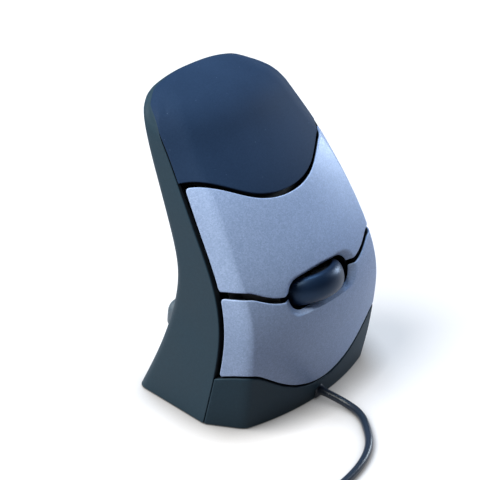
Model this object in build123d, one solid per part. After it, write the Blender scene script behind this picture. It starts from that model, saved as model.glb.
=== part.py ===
from build123d import *
import math
import os

# A tall upright mouse, held like a handshake. Millimetres. +Z is up, +Y is the way
# the pointer moves ahead, +X is the finger side with the buttons, -X the thumb side.
# The origin is on the ground under the middle of the body, without its cord.

# Driving dimensions of the casing
WALL = 2.2                 # thickness of the moulded shells and buttons
GROUND_GAP = 0.7           # the shells end this far above the ground
CREASE_RADIUS = 3.5        # soft crease between the face and its side bands
CAP_GAP = 1.1              # black gap between the cap and the upper button
MIDDLE_GAP = 1.6           # black gap between the two buttons
FOOT_GAP = 1.0             # black gap under the lower button
SIDE_GAP = 1.4             # black gap beside the buttons
FRAME_DEPTH = 4.0          # from the outer surface to the inner frame
FRAME_WALL = 1.8           # thickness of the inner frame

# Outline of the casing: the same list of levels for every edge line.
# EDGE is where the thumb side meets the end faces, SEAM where an end face meets
# the side band, CREASE where the band meets the face with its finger bulge.
LEVELS = [0, 12, 24, 38, 52, 66, 80, 92, 99, 103, 105.4]
EDGE_X = [-24.8, -18.8, -13.5, -8.7, -6.9, -10.5, -16.7, -23.3, -27.3, -30.0, -30.3]
EDGE_Y = [35.2, 34.9, 34.6, 34.4, 34.2, 33.7, 32.4, 30.0, 27.2, 22.0, 16.0]
SEAM_X = [7.2, 10.3, 12.9, 14.1, 11.2, 4.0, -4.9, -14.5, -21.3, -26.0, -28.5]
SEAM_Y = [37.2, 37.2, 36.9, 36.4, 35.8, 35.0, 33.4, 30.8, 28.0, 22.5, 16.3]
CREASE_X = [19.5, 21.6, 23.0, 23.5, 19.3, 11.7, 2.1, -8.3, -15.0, -21.5, -26.0]
CREASE_Y = [30.3, 31.4, 32.0, 32.0, 31.4, 30.0, 27.4, 24.2, 21.6, 17.0, 12.0]
FACE_BULGE = [5.3, 5.3, 5.2, 5.0, 4.8, 4.6, 4.4, 4.0, 3.6, 2.5, 1.5]
THUMB_BULGE = [6, 5.5, 5, 4.5, 4, 3.5, 3, 2.5, 2, 1.5, 1]
CEILING_LEVEL = 8          # the hollow inside ends at this level
CROWN = [(0, 105.3), (10, 104.9), (15, 104.2), (19, 103.2), (23.5, 101.2), (28, 97.6), (31, 92)]

# Curved lines across the face, as (distance from the middle, height)
CAP_LINE = [(0, 74.0), (9.5, 75.0), (14.2, 76.4), (19.5, 78.8), (24, 80.9), (28, 82.1), (34, 81.4)]
MIDDLE_LINE = [(0, 45.4), (10, 45.7), (16, 46.3), (21, 47.4), (25, 49.2), (29, 51.2), (35, 51.4)]
FOOT_LINE = [(0, 8.7), (5, 9.2), (9.5, 10.4), (14, 12.2), (19.2, 15.2), (25, 19.3), (32, 22.6), (37, 20.6)]

# The wheel and what stands in line with it
WHEEL_HEIGHT = 45.2        # where the wheel's middle line leaves the face
FACE_LEAN = 17.0           # the face leans back this many degrees there
WHEEL_RADIUS = 14.0
WHEEL_WIDTH = 9.0
WHEEL_PROUD = 4.0          # how far the wheel stands out of the face
TYRE_THICKNESS = 3.2
AXLE_RADIUS = 1.25
RUNNING_FIT = 0.05         # radial play of an axle or rod in its hole
RECESS_LENGTH = 43.8       # long way of the hollow round the wheel
RECESS_WIDTH = 14.2
RECESS_DEPTH = 3.4
SLOT_LENGTH = 30.2         # long way of the opening for the wheel
SLOT_WIDTH = 10.6

# Switches, boards and their places
BOARD_THICKNESS = 1.6
BOARD_DEPTH = 20.0         # from the face to the front of the switch boards
SWITCH_LENGTH = 12.8
SWITCH_WIDTH = 5.8
SWITCH_HEIGHT = 6.5
PLUNGER_RADIUS = 1.0
PLUNGER_PROUD = 1.0
PRESS_GAP = 0.03           # between a presser and its plunger, at rest
BUTTON_SWITCH_X = 14.0     # sideways place of the two button switches
BUTTON_SWITCH_UP = 14.0    # and their distance above or below the wheel
MAIN_BOARD_Z = 6.5
SCREW_RADIUS = 0.9
SCREW_HEAD_RADIUS = 1.9
SCREW_HEAD_HEIGHT = 1.4
POST_RADIUS = 3.0

# Base
BASE_THICKNESS = 2.4
FIT_GAP = 0.3              # gap round pieces that drop into a shell
FOOT_PAD_HEIGHT = 1.2

# Thumb button
THUMB_Z = 29.0
THUMB_LENGTH = 60.0
THUMB_HEIGHT = 9.6
THUMB_CORNER = 3.2
THUMB_PROUD = 3.1
THUMB_LEAN = 15.0          # its face stands this much steeper than the shell, in degrees

# Cord
CORD_RADIUS = 1.35
EXIT_Z = 3.5
EXIT_X = 25.9
COIL_CENTRE = (42.65, -99.5)
COIL_PITCH = 3.15          # from one turn to the next, and from layer to layer
COIL_RADIUS = 20.0         # of the outermost half turn on the ground
HALF_TURNS = [7, 7, 7, 8]  # level half turns in each layer
PLUG_Z = 15.95             # the plug lies on the coil
RELIEF_LENGTH = 9.0        # tapered sleeve behind the plug's grip
RELIEF_RADII = (1.9, 2.8)
GRIP = (18.0, 15.0, 7.5)
GRIP_CORNER = 2.2
PLUG_SHELL = (12.0, 12.0, 4.5)
PLUG_WALL = 0.3
TONGUE = (11.4, 11.2, 1.7)

# Gland where the cord comes out
GLAND_RADIUS = 2.0
GLAND_X = 21.0
GLAND_FLANGE = 1.1         # how much wider the gland is inside the shell
GLAND_FLANGE_THICKNESS = 1.6
NOTCH_HALF = 4.0
NOTCH_X = 15.2             # the base plate is open for the cord from here on

# Hinges of the two buttons
UPPER_HINGE_Z = 74.5       # where each hinge stands behind the face
LOWER_HINGE_Z = 14.5
HINGE_DEPTH = 7.6
HINGE_ROD_RADIUS = 1.2
UPPER_ROD_HALF = 25.5
LOWER_ROD_HALF = 17.0
LUG_RADIUS = 2.7
LUG_WIDTH = 3.0
UPPER_LUG_Y = 20.0
LOWER_LUG_Y = 11.5
LUG_PLAY = 0.5
CHEEK_WIDTH = 2.4
SWITCH_POST_RADIUS = 2.2

# Inner frame
FRAME_PAD = (26.5, 25.0)   # sideways and upward place of the upper frame screws
FRAME_PAD_DEPTH = 17.0
FRAME_SCREW_SEAT = 12.5    # these screws' heads sit this far behind the face
STANDOFF_X = 20.0
STANDOFF_UP = (24.0, -23.0)
STANDOFF_RADIUS = 2.4
GUIDE_PLAY = 0.4
GUIDE_WALL = 1.8
CHEEK_THICKNESS = 1.8
CARRIER_HALF = 6.0
LEG_X = 16.0
LEG_Y = 18.0
LEG_SIZE = (5.0, 6.0)

# Boards, posts and screws
UPPER_BOARD_UP = (10.5, 27.0)
LOWER_BOARD_UP = (-26.0, -10.5)
BOARD_HALF = 22.8
MAIN_BOARD = (-18.0, 15.0, -24.0, 24.0)
BOARD_POSTS = [(-14.5, 18.0), (-14.5, -18.0), (8.0, 21.4)]
FRONT_BOSS = (14.5, 27.6)
BACK_BOSS = (-12.0, 30.6)
BOSS_TOP = 13.0
FEET = [(-20.5, 17, 7, 16), (-20.5, -17, 7, 16), (2, 27, 16, 7), (2, -27, 16, 7)]
FOOT_CORNER = 2.5
APERTURE_X = -4.0          # middle of the sensor's window
APERTURE = (9.0, 7.0)
THREAD_PLAY = 0.02         # round a screw that bites into plastic
SCREW_PLAY = 0.15          # round a screw in a shell or frame
BOARD_PLAY = 0.2           # round a screw in a board, and round a screw head

# Inside the thumb button
THUMB_BOARD_X = -4.5
THUMB_BOARD_HALF = 14.0
THUMB_FLANGE = 1.6         # how far the button's flange reaches beyond the opening
THUMB_FLANGE_THICKNESS = 1.2
THUMB_WALL = 1.8
THUMB_POST_Y = 10.0
THUMB_POST_Z = 10.7        # the posts stand this far above and below the button
SLIDE_GAP = 0.35           # round the button in the shell

# Small parts
PLUNGER_LENGTH = 4.9
PLUNGER_WELL = 0.9         # free depth behind a plunger
LED_X = -12.5
LED_RADIUS = 2.5
LED_HEIGHT = 3.3
LINK_X = (-15.5, -7.5)     # the flat links between the boards, sideways
LINK_OUT = (-23.6, -23.0)

# Worked out from the above
POST_END = -(BOARD_DEPTH - SWITCH_HEIGHT - PLUNGER_PROUD - PRESS_GAP)
GUIDE_UP = WHEEL_WIDTH / 2 + 0.7
ENCODER_UP = GUIDE_UP + CHEEK_THICKNESS
AXLE_OUT = WHEEL_PROUD - WHEEL_RADIUS
PLATE_TOP = GROUND_GAP + BASE_THICKNESS
THUMB_DEPTH = WALL + 0.9   # from the outer surface to the front of the flange

os.makedirs("parts", exist_ok=True)


def mirrored(points):
    """Points of half a line across the face, as the whole line from -Y to +Y."""
    left = [(-y, z) for y, z in reversed(points) if y > 0]
    return left + list(points)


def crossing(p, along_p, q, along_q):
    """Where two lines in the plane meet."""
    turn = along_p[0] * along_q[1] - along_p[1] * along_q[0]
    gap = (q[0] - p[0], q[1] - p[1])
    share = (gap[0] * along_q[1] - gap[1] * along_q[0]) / turn
    return (p[0] + along_p[0] * share, p[1] + along_p[1] * share)


def moved_in(p, q, inset):
    """A line from p to q moved sideways into the casing, as point and direction."""
    length = math.hypot(q[0] - p[0], q[1] - p[1])
    along = ((q[0] - p[0]) / length, (q[1] - p[1]) / length)
    return (p[0] + along[1] * inset, p[1] - along[0] * inset), along


def section(level, inset):
    """Closed outline of the casing at one level, moved inward by inset."""
    edge = (EDGE_X[level], EDGE_Y[level])
    seam = (SEAM_X[level], SEAM_Y[level])
    crease = (CREASE_X[level], CREASE_Y[level])
    bulge = FACE_BULGE[level]
    face_tip = crease[0] + bulge - inset
    thumb_tip = edge[0] - THUMB_BULGE[level] + inset
    if inset > 0:
        end_line = moved_in(edge, seam, inset)
        band_line = moved_in(seam, crease, inset)
        face_way = (2 * bulge, -crease[1])
        face_line = moved_in(crease, (crease[0] + face_way[0], crease[1] + face_way[1]), inset)
        edge = crossing((edge[0] + inset, 0), (0, 1), *end_line)
        seam = crossing(*end_line, *band_line)
        crease = crossing(*band_line, *face_line)
    z = LEVELS[level]

    def at(point, side):
        return Vector(point[0], side * point[1], z)

    edges = [
        Edge.make_three_point_arc(at(edge, -1), Vector(thumb_tip, 0, z), at(edge, 1)),
        Edge.make_line(at(edge, 1), at(seam, 1)),
        Edge.make_line(at(seam, 1), at(crease, 1)),
        Edge.make_three_point_arc(at(crease, 1), Vector(face_tip, 0, z), at(crease, -1)),
        Edge.make_line(at(crease, -1), at(seam, -1)),
        Edge.make_line(at(seam, -1), at(edge, -1)),
    ]
    return Wire(edges)


def casing(inset):
    """The whole casing as one solid, moved inward by inset."""
    top = len(LEVELS) if inset == 0 else CEILING_LEVEL + 1
    return Solid.make_loft([section(level, inset) for level in range(top)])


def soft_creases(solid):
    """Round the two creases between the face and its side bands."""
    tall = [e for e in solid.edges() if e.bounding_box().size.Z > LEVELS[-1] / 2]
    tall.sort(key=lambda e: e.position_at(0.35).X)
    return solid.fillet(CREASE_RADIUS, tall[-2:])


def across(lower, upper):
    """Everything between two curved lines across the face, right through in X."""
    reach = 60
    low = mirrored(lower)
    high = mirrored(upper)
    low_line = Edge.make_spline([Vector(-reach, y, z) for y, z in low])
    high_line = Edge.make_spline([Vector(-reach, y, z) for y, z in high])
    low_ends = (low_line.position_at(0), low_line.position_at(1))
    high_ends = (high_line.position_at(0), high_line.position_at(1))
    wide = 50

    def outward(point, side):
        return Vector(-reach, side * wide, point.Z)

    edges = [
        Edge.make_line(outward(low_ends[0], -1), low_ends[0]),
        low_line,
        Edge.make_line(low_ends[1], outward(low_ends[1], 1)),
        Edge.make_line(outward(low_ends[1], 1), outward(high_ends[1], 1)),
        Edge.make_line(outward(high_ends[1], 1), high_ends[1]),
        high_line,
        Edge.make_line(high_ends[0], outward(high_ends[0], -1)),
        Edge.make_line(outward(high_ends[0], -1), outward(low_ends[0], -1)),
    ]
    return extrude(Face(Wire(edges)), amount=2 * reach, dir=(1, 0, 0))


def shifted(line, dz):
    return [(y, z + dz) for y, z in line]


def flat_line(z):
    return [(0, z), (20, z), (40, z)]


def finger_side(gap):
    """Everything in front of the seam line, moved forward by gap."""
    reach = 60
    line = [Vector(x + gap, -reach, z) for x, z in zip(SEAM_X, LEVELS)]
    foot = Vector(SEAM_X[0] + gap - 3, -reach, -10)
    top = Vector(SEAM_X[-1] + gap - 6, -reach, LEVELS[-1] + 6)
    seam = Edge.make_spline([foot] + line + [top])
    edges = [
        seam,
        Edge.make_line(top, Vector(reach, -reach, top.Z)),
        Edge.make_line(Vector(reach, -reach, top.Z), Vector(reach, -reach, foot.Z)),
        Edge.make_line(Vector(reach, -reach, foot.Z), foot),
    ]
    return extrude(Face(Wire(edges)), amount=2 * reach, dir=(0, 1, 0))


def crowned():
    """Everything below the arched top of the casing."""
    return across(flat_line(GROUND_GAP), CROWN)


print("casing")
outer = soft_creases(casing(0)) & crowned()
inner = casing(WALL)
skin = outer - inner
front = finger_side(0)
button_front = finger_side(SIDE_GAP)


def surface_x(y, z):
    """X of the face at a place given by Y and height."""
    hits = outer.find_intersection_points(Axis((0, y, z), (1, 0, 0)))
    return max(point.X for point, normal in hits)


lean = math.radians(FACE_LEAN)
OUTWARD = Vector(math.cos(lean), 0, math.sin(lean))
FACE_POINT = Vector(surface_x(0, WHEEL_HEIGHT), 0, WHEEL_HEIGHT)
# Local frame of the wheel: X is +Y of the mouse, Y goes up the face, Z points outward
face = Plane(origin=FACE_POINT, x_dir=(0, 1, 0), z_dir=OUTWARD)


def block(x0, x1, up0, up1, out0, out1):
    """A box in the wheel's frame."""
    solid = Solid.make_box(x1 - x0, up1 - up0, out1 - out0)
    return face.location * Pos(x0, up0, out0) * solid


def peg(x, up, out0, out1, radius):
    """A round peg along the wheel's outward direction."""
    return face.location * Pos(x, up, out0) * Solid.make_cylinder(radius, out1 - out0)


def upright(x, y, z0, z1, radius):
    return Pos(x, y, z0) * Solid.make_cylinder(radius, z1 - z0)


def box(x0, x1, y0, y1, z0, z1):
    return Pos(x0, y0, z0) * Solid.make_box(x1 - x0, y1 - y0, z1 - z0)


def rod(x, z, y0, y1, radius):
    """A round rod across the mouse, along Y."""
    return Pos(x, y0, z) * Rot(-90, 0, 0) * Solid.make_cylinder(radius, y1 - y0)


nodes = {}

print("wheel recess")
bevel_top = Plane(face.location * Pos(0, 0, 1))
bevel_low = Plane(face.location * Pos(0, 0, -RECESS_DEPTH))


def oval(plane, length, width):
    """A slot with round ends on a plane of the wheel's frame, as a wire."""
    return (plane * SlotOverall(length, width)).wires()[0]


slot_ends = [oval(bevel_low, SLOT_LENGTH, SLOT_WIDTH), oval(bevel_top, RECESS_LENGTH, RECESS_WIDTH)]
recess = Solid.make_loft(slot_ends)
slot = extrude(Face(slot_ends[0]), amount=6, dir=-OUTWARD)

print("hinges")


def hinge_place(height, y):
    """Centre of a hinge rod behind the face, as (x, z)."""
    return surface_x(y, height) - HINGE_DEPTH, height


upper_hinge = hinge_place(UPPER_HINGE_Z, UPPER_LUG_Y)
lower_hinge = hinge_place(LOWER_HINGE_Z, LOWER_LUG_Y)


def ear(hinge, y0, y1, radius):
    """A plate across Y that holds a hinge rod and reaches straight to the face."""
    plate = box(hinge[0], hinge[0] + HINGE_DEPTH + 6, y0, y1, hinge[1] - radius, hinge[1] + radius)
    return plate + rod(hinge[0], hinge[1], y0, y1, radius)


def ears(hinge, middle, start, width, radius):
    """A pair of ears, at the same distance either side of the middle."""
    right = ear(hinge, middle + start, middle + start + width, radius)
    left = ear(hinge, -middle - start - width, -middle - start, radius)
    return [right, left]


def fuse_all(shape, more):
    for piece in more:
        shape = shape + piece
    return shape


def cut_all(shape, tools):
    for tool in tools:
        shape = shape - tool
    return shape


print("buttons")
under_skin = casing(WALL / 2) & crowned()


def button(region, hinge, lug_y, post_up):
    """One silver button: its piece of skin, two hinge lugs and a switch post."""
    shape = (skin & region) & button_front
    lugs = ears(hinge, lug_y, -LUG_WIDTH / 2, LUG_WIDTH, LUG_RADIUS)
    shape = fuse_all(shape, [lug & under_skin for lug in lugs])
    post = peg(BUTTON_SWITCH_X, post_up, POST_END, 0, SWITCH_POST_RADIUS) & under_skin
    shape = shape + post
    hole = rod(hinge[0], hinge[1], -40, 40, HINGE_ROD_RADIUS + RUNNING_FIT)
    return shape - hole - recess - slot


upper_region = across(MIDDLE_LINE, shifted(CAP_LINE, -CAP_GAP))
lower_region = across(FOOT_LINE, shifted(MIDDLE_LINE, -MIDDLE_GAP))
nodes["upper_button"] = button(upper_region, upper_hinge, UPPER_LUG_Y, BUTTON_SWITCH_UP)
nodes["lower_button"] = button(lower_region, lower_hinge, LOWER_LUG_Y, -BUTTON_SWITCH_UP)

print("inner frame")
frame_outside = casing(FRAME_DEPTH)
frame_inside = casing(FRAME_DEPTH + FRAME_WALL)
frame_region = across(shifted(FOOT_LINE, -1.5), shifted(CAP_LINE, 5))
frame_sheet = ((frame_outside - frame_inside) & frame_region) & finger_side(1.0)
cheeks = []
for hinge, lug_y in ((upper_hinge, UPPER_LUG_Y), (lower_hinge, LOWER_LUG_Y)):
    clear = LUG_WIDTH / 2 + LUG_PLAY
    cheeks += ears(hinge, lug_y, clear, CHEEK_WIDTH, LUG_RADIUS)
    cheeks += ears(hinge, lug_y, -clear - CHEEK_WIDTH, CHEEK_WIDTH, LUG_RADIUS)
additions = [cheek & frame_outside for cheek in cheeks]
for side in (-1, 1):
    additions.append(peg(side * FRAME_PAD[0], FRAME_PAD[1], -FRAME_PAD_DEPTH, 0, POST_RADIUS) & frame_outside)
    leg_y = side * LEG_Y
    leg_side = (leg_y - LEG_SIZE[1] / 2, leg_y + LEG_SIZE[1] / 2)
    leg = box(LEG_X, LEG_X + LEG_SIZE[0], *leg_side, PLATE_TOP, 20)
    additions.append(leg & frame_outside)
    for up in STANDOFF_UP:
        additions.append(peg(side * STANDOFF_X, up, -BOARD_DEPTH, 0, STANDOFF_RADIUS) & frame_outside)
    for up in (GUIDE_UP, -GUIDE_UP - CHEEK_THICKNESS):
        x = side * (CARRIER_HALF + GUIDE_PLAY + GUIDE_WALL / 2)
        guide = block(x - GUIDE_WALL / 2, x + GUIDE_WALL / 2, up, up + CHEEK_THICKNESS, -BOARD_DEPTH + 2, 0)
        additions.append(guide & frame_outside)
frame_cuts = []
for hinge, lug_y in ((upper_hinge, UPPER_LUG_Y), (lower_hinge, LOWER_LUG_Y)):
    frame_cuts += ears(hinge, lug_y, -LUG_WIDTH / 2 - LUG_PLAY, LUG_WIDTH + 2 * LUG_PLAY, LUG_RADIUS + 0.9)
    frame_cuts.append(rod(hinge[0], hinge[1], -28, 28, HINGE_ROD_RADIUS))
frame_cuts.append(block(-16.3, 16.3, -WHEEL_WIDTH / 2 - 0.6, WHEEL_WIDTH / 2 + 0.6, -12, 6))
for up in (BUTTON_SWITCH_UP, -BUTTON_SWITCH_UP):
    frame_cuts.append(peg(BUTTON_SWITCH_X, up, -12, 6, 3.0))
for side in (-1, 1):
    frame_cuts.append(peg(side * FRAME_PAD[0], FRAME_PAD[1], -40, 6, SCREW_RADIUS + SCREW_PLAY))
    pad_y = side * FRAME_PAD[0]
    frame_cuts.append(peg(pad_y, FRAME_PAD[1], -FRAME_SCREW_SEAT, 6, SCREW_HEAD_RADIUS + BOARD_PLAY))
    frame_cuts.append(upright(LEG_X + LEG_SIZE[0] / 2, side * LEG_Y, 0, 10, SCREW_RADIUS + THREAD_PLAY))
    for up in STANDOFF_UP:
        screw_range = (-BOARD_DEPTH - 1, -BOARD_DEPTH + 5)
        frame_cuts.append(peg(side * STANDOFF_X, up, *screw_range, SCREW_RADIUS + THREAD_PLAY))
nodes["button_frame"] = cut_all(fuse_all(frame_sheet, additions), frame_cuts)

nodes["upper_hinge_rod"] = rod(*upper_hinge, -UPPER_ROD_HALF, UPPER_ROD_HALF, HINGE_ROD_RADIUS)
nodes["lower_hinge_rod"] = rod(*lower_hinge, -LOWER_ROD_HALF, LOWER_ROD_HALF, HINGE_ROD_RADIUS)

print("shells")
cap = (skin & across(CAP_LINE, flat_line(120))) & front
base = (skin & across(flat_line(-20), shifted(FOOT_LINE, -FOOT_GAP))) & front
back = skin - front
inside = casing(WALL / 2)
for side in (-1, 1):
    boss_x, boss_y = FRONT_BOSS[0], side * FRONT_BOSS[1]
    front_boss = upright(boss_x, boss_y, PLATE_TOP, BOSS_TOP, POST_RADIUS)
    web_y = sorted((boss_y, side * 50))
    web = box(boss_x - 1, boss_x + 1, web_y[0], web_y[1], PLATE_TOP, BOSS_TOP)
    base = base + ((front_boss + web) & inside)
    base = base - upright(boss_x, boss_y, 0, 10, SCREW_RADIUS + THREAD_PLAY)
    back_boss = upright(BACK_BOSS[0], side * BACK_BOSS[1], PLATE_TOP, BOSS_TOP, POST_RADIUS) & inside
    back = back + back_boss
    back = back - upright(BACK_BOSS[0], side * BACK_BOSS[1], 0, 10, SCREW_RADIUS + THREAD_PLAY)
    post = peg(side * FRAME_PAD[0], FRAME_PAD[1], -60, -FRAME_PAD_DEPTH, POST_RADIUS) & inside
    back = back + post
    back = back - peg(side * FRAME_PAD[0], FRAME_PAD[1], -FRAME_PAD_DEPTH - 7, 0, SCREW_RADIUS + THREAD_PLAY)


print("thumb button")
thumb_casing = casing(0)
thumb_hits = thumb_casing.find_intersection_points(Axis((0, 0, THUMB_Z), (1, 0, 0)))
thumb_surface = min(point.X for point, normal in thumb_hits)
thumb_turn = Pos(thumb_surface, 0, THUMB_Z) * Rot(0, -THUMB_LEAN, 0) * Pos(-thumb_surface, 0, -THUMB_Z)
thumb_outside = Pos(-THUMB_PROUD, 0, 0) * thumb_turn * thumb_casing


def thumb_bar(grow):
    """A rounded bar right through the thumb side, larger all round by grow."""
    outline = RectangleRounded(THUMB_LENGTH + 2 * grow, THUMB_HEIGHT + 2 * grow, THUMB_CORNER + grow)
    return extrude(Plane(origin=(-60, 0, THUMB_Z), x_dir=(0, 1, 0), z_dir=(1, 0, 0)) * outline, amount=60)


def thumb_slab(grow, start, end):
    """The part of that bar between two depths below the surface of the thumb side."""
    return (thumb_bar(grow) & (Pos(start, 0, 0) * thumb_casing)) - Pos(end, 0, 0) * thumb_casing


flange_end = THUMB_DEPTH + THUMB_FLANGE_THICKNESS
thumb = (thumb_bar(0) & thumb_outside) - Pos(flange_end, 0, 0) * thumb_casing
hollow = (thumb_bar(-THUMB_WALL) & (Pos(THUMB_WALL, 0, 0) * thumb_outside)) - Pos(20, 0, 0) * thumb_casing
thumb = thumb - hollow
thumb = thumb + thumb_slab(THUMB_FLANGE, THUMB_DEPTH, flange_end) - thumb_slab(-THUMB_WALL, 0, 20)
thumb_tip_x = THUMB_BOARD_X - SWITCH_HEIGHT - PLUNGER_PROUD


def along_x(x0, x1, y, z, radius):
    return Pos(x0, y, z) * Rot(0, 90, 0) * Solid.make_cylinder(radius, x1 - x0)


thumb_post = along_x(-40, thumb_tip_x - PRESS_GAP, 0, THUMB_Z, STANDOFF_RADIUS)
thumb = thumb + (thumb_post & (Pos(THUMB_WALL / 2, 0, 0) * thumb_outside))
nodes["thumb_button"] = thumb
back = back - thumb_slab(SLIDE_GAP, -20, 8)
for y in (-THUMB_POST_Y, THUMB_POST_Y):
    for z in (THUMB_Z - THUMB_POST_Z, THUMB_Z + THUMB_POST_Z):
        back = back + (along_x(-50, THUMB_BOARD_X, y, z, STANDOFF_RADIUS) & inside)
        back = back - along_x(THUMB_BOARD_X - 5, THUMB_BOARD_X + 1, y, z, SCREW_RADIUS + THREAD_PLAY)

print("cord gland")


def gland_form(radius, x0, x1, z_low):
    """A round bush with a straight-sided foot, lying along X."""
    foot = box(x0, x1, -radius, radius, z_low, EXIT_Z)
    return along_x(x0, x1, 0, EXIT_Z, radius) + foot


gland = gland_form(GLAND_RADIUS, GLAND_X, EXIT_X, GROUND_GAP + 0.2)
flange_x = GLAND_X + GLAND_FLANGE_THICKNESS
flange = gland_form(GLAND_RADIUS + GLAND_FLANGE, GLAND_X, flange_x, GROUND_GAP + 0.2)
nodes["cord_gland"] = gland + flange
base = base - gland_form(GLAND_RADIUS + 0.05, GLAND_X, EXIT_X + 2, -1)

nodes["top_cap"] = cap
nodes["front_base_shell"] = base
nodes["back_shell"] = back

print("base plate")
leg_boss = (LEG_X + LEG_SIZE[0] / 2, LEG_Y)
screw_places = [(x, side * y) for x, y in (FRONT_BOSS, BACK_BOSS, leg_boss) for side in (1, -1)]
plate = casing(WALL + FIT_GAP) & box(-60, 60, -60, 60, GROUND_GAP, PLATE_TOP)
plate = plate - box(NOTCH_X, 60, -NOTCH_HALF, NOTCH_HALF, -1, 10)
window = (APERTURE_X - APERTURE[0] / 2, APERTURE_X + APERTURE[0] / 2, -APERTURE[1] / 2, APERTURE[1] / 2)
plate = plate - box(*window, -1, 10)
for x, y in BOARD_POSTS:
    plate = plate + upright(x, y, PLATE_TOP, MAIN_BOARD_Z, STANDOFF_RADIUS)
    plate = plate - upright(x, y, PLATE_TOP - 1, 10, SCREW_RADIUS + THREAD_PLAY)
for x, y in screw_places:
    plate = plate - upright(x, y, 0, 10, SCREW_RADIUS + SCREW_PLAY)
    plate = plate - upright(x, y, 0, GROUND_GAP + SCREW_HEAD_HEIGHT, SCREW_HEAD_RADIUS + BOARD_PLAY)
feet = []
for x, y, long_x, long_y in FEET:
    pad = extrude(Pos(x, y, 0) * RectangleRounded(long_x, long_y, FOOT_CORNER), amount=FOOT_PAD_HEIGHT)
    room = RectangleRounded(long_x + 2 * BOARD_PLAY, long_y + 2 * BOARD_PLAY, FOOT_CORNER + BOARD_PLAY)
    pocket = extrude(Pos(x, y, 0) * room, amount=FOOT_PAD_HEIGHT)
    plate = plate - pocket
    feet.append(pad)
nodes["base_plate"] = plate
nodes["glide_feet"] = Compound(children=feet)


def screw(length):
    """A pan-head screw standing on the origin, its shank pointing up."""
    head = Solid.make_cylinder(SCREW_HEAD_RADIUS, SCREW_HEAD_HEIGHT)
    shank = Solid.make_cylinder(SCREW_RADIUS, SCREW_HEAD_HEIGHT + length)
    slot_cut = Pos(-SCREW_HEAD_RADIUS, -0.25, 0) * Solid.make_box(2 * SCREW_HEAD_RADIUS, 0.5, 0.5)
    return head + shank - slot_cut


def group(pieces):
    """Several separate solids kept in one node."""
    return Compound(children=pieces)


base_screws = [Pos(x, y, GROUND_GAP) * screw(6.5) for x, y in screw_places]
nodes["base_screws"] = group(base_screws)
frame_screws = []
for side in (-1, 1):
    head_top = SCREW_HEAD_HEIGHT - FRAME_SCREW_SEAT
    place = face.location * Pos(side * FRAME_PAD[0], FRAME_PAD[1], head_top)
    frame_screws.append(place * Rot(180, 0, 0) * screw(10))
nodes["frame_screws"] = group(frame_screws)

print("boards")
board_back = -BOARD_DEPTH - BOARD_THICKNESS


def switch_board(up_range, up_standoff):
    """A switch board behind the frame, with its two screw holes."""
    shape = block(-BOARD_HALF, BOARD_HALF, up_range[0], up_range[1], board_back, -BOARD_DEPTH)
    for side in (-1, 1):
        shape = shape - peg(side * STANDOFF_X, up_standoff, -30, 0, SCREW_RADIUS + BOARD_PLAY)
    return shape


nodes["upper_switch_board"] = switch_board(UPPER_BOARD_UP, STANDOFF_UP[0])
nodes["lower_switch_board"] = switch_board(LOWER_BOARD_UP, STANDOFF_UP[1])
switch_screws = []
for side in (-1, 1):
    for up in STANDOFF_UP:
        place = face.location * Pos(side * STANDOFF_X, up, board_back - SCREW_HEAD_HEIGHT)
        switch_screws.append(place * screw(5))
nodes["switch_board_screws"] = group(switch_screws)

thumb_board_back = THUMB_BOARD_X + BOARD_THICKNESS
thumb_board = box(THUMB_BOARD_X, thumb_board_back, -THUMB_BOARD_HALF, THUMB_BOARD_HALF,
                  THUMB_Z - THUMB_BOARD_HALF, THUMB_Z + THUMB_BOARD_HALF)
thumb_screws = []
for y in (-THUMB_POST_Y, THUMB_POST_Y):
    for z in (THUMB_Z - THUMB_POST_Z, THUMB_Z + THUMB_POST_Z):
        thumb_board = thumb_board - along_x(-10, 10, y, z, SCREW_RADIUS + BOARD_PLAY)
        thumb_screws.append(Pos(thumb_board_back + SCREW_HEAD_HEIGHT, y, z) * Rot(0, -90, 0) * screw(5))
nodes["thumb_switch_board"] = thumb_board
nodes["thumb_board_screws"] = group(thumb_screws)

main_top = MAIN_BOARD_Z + BOARD_THICKNESS
main_board = box(*MAIN_BOARD, MAIN_BOARD_Z, main_top)
main_board = main_board - box(11, 20, -3.5, 3.5, 0, 20)
main_board = main_board - box(APERTURE_X - 3, APERTURE_X + 3, -3, 3, 0, 20)
main_screws = []
for x, y in BOARD_POSTS:
    main_board = main_board - upright(x, y, 0, 20, SCREW_RADIUS + BOARD_PLAY)
    main_screws.append(Pos(x, y, main_top + SCREW_HEAD_HEIGHT) * Rot(180, 0, 0) * screw(4.5))
nodes["main_board"] = main_board
nodes["main_board_screws"] = group(main_screws)

print("switches")
switch_top = -BOARD_DEPTH + SWITCH_HEIGHT
switch_spots = {
    "upper": (BUTTON_SWITCH_X, BUTTON_SWITCH_UP),
    "lower": (BUTTON_SWITCH_X, -BUTTON_SWITCH_UP),
    "wheel": (0, -BUTTON_SWITCH_UP),
}
half_long = SWITCH_LENGTH / 2
half_wide = SWITCH_WIDTH / 2
for name, (x, up) in switch_spots.items():
    body = block(x - half_long, x + half_long, up - half_wide, up + half_wide, -BOARD_DEPTH, switch_top)
    tip = switch_top + PLUNGER_PROUD
    body = body - peg(x, up, tip - PLUNGER_LENGTH - PLUNGER_WELL, 0, PLUNGER_RADIUS + RUNNING_FIT)
    nodes[name + "_switch"] = body
    nodes[name + "_switch_plunger"] = peg(x, up, tip - PLUNGER_LENGTH, tip, PLUNGER_RADIUS)
thumb_switch_x = THUMB_BOARD_X - SWITCH_HEIGHT
body = box(thumb_switch_x, THUMB_BOARD_X, -half_long, half_long, THUMB_Z - half_wide, THUMB_Z + half_wide)
plunger_end = thumb_tip_x + PLUNGER_LENGTH
body = body - along_x(thumb_switch_x - 1, plunger_end + PLUNGER_WELL, 0, THUMB_Z, PLUNGER_RADIUS + RUNNING_FIT)
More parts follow.
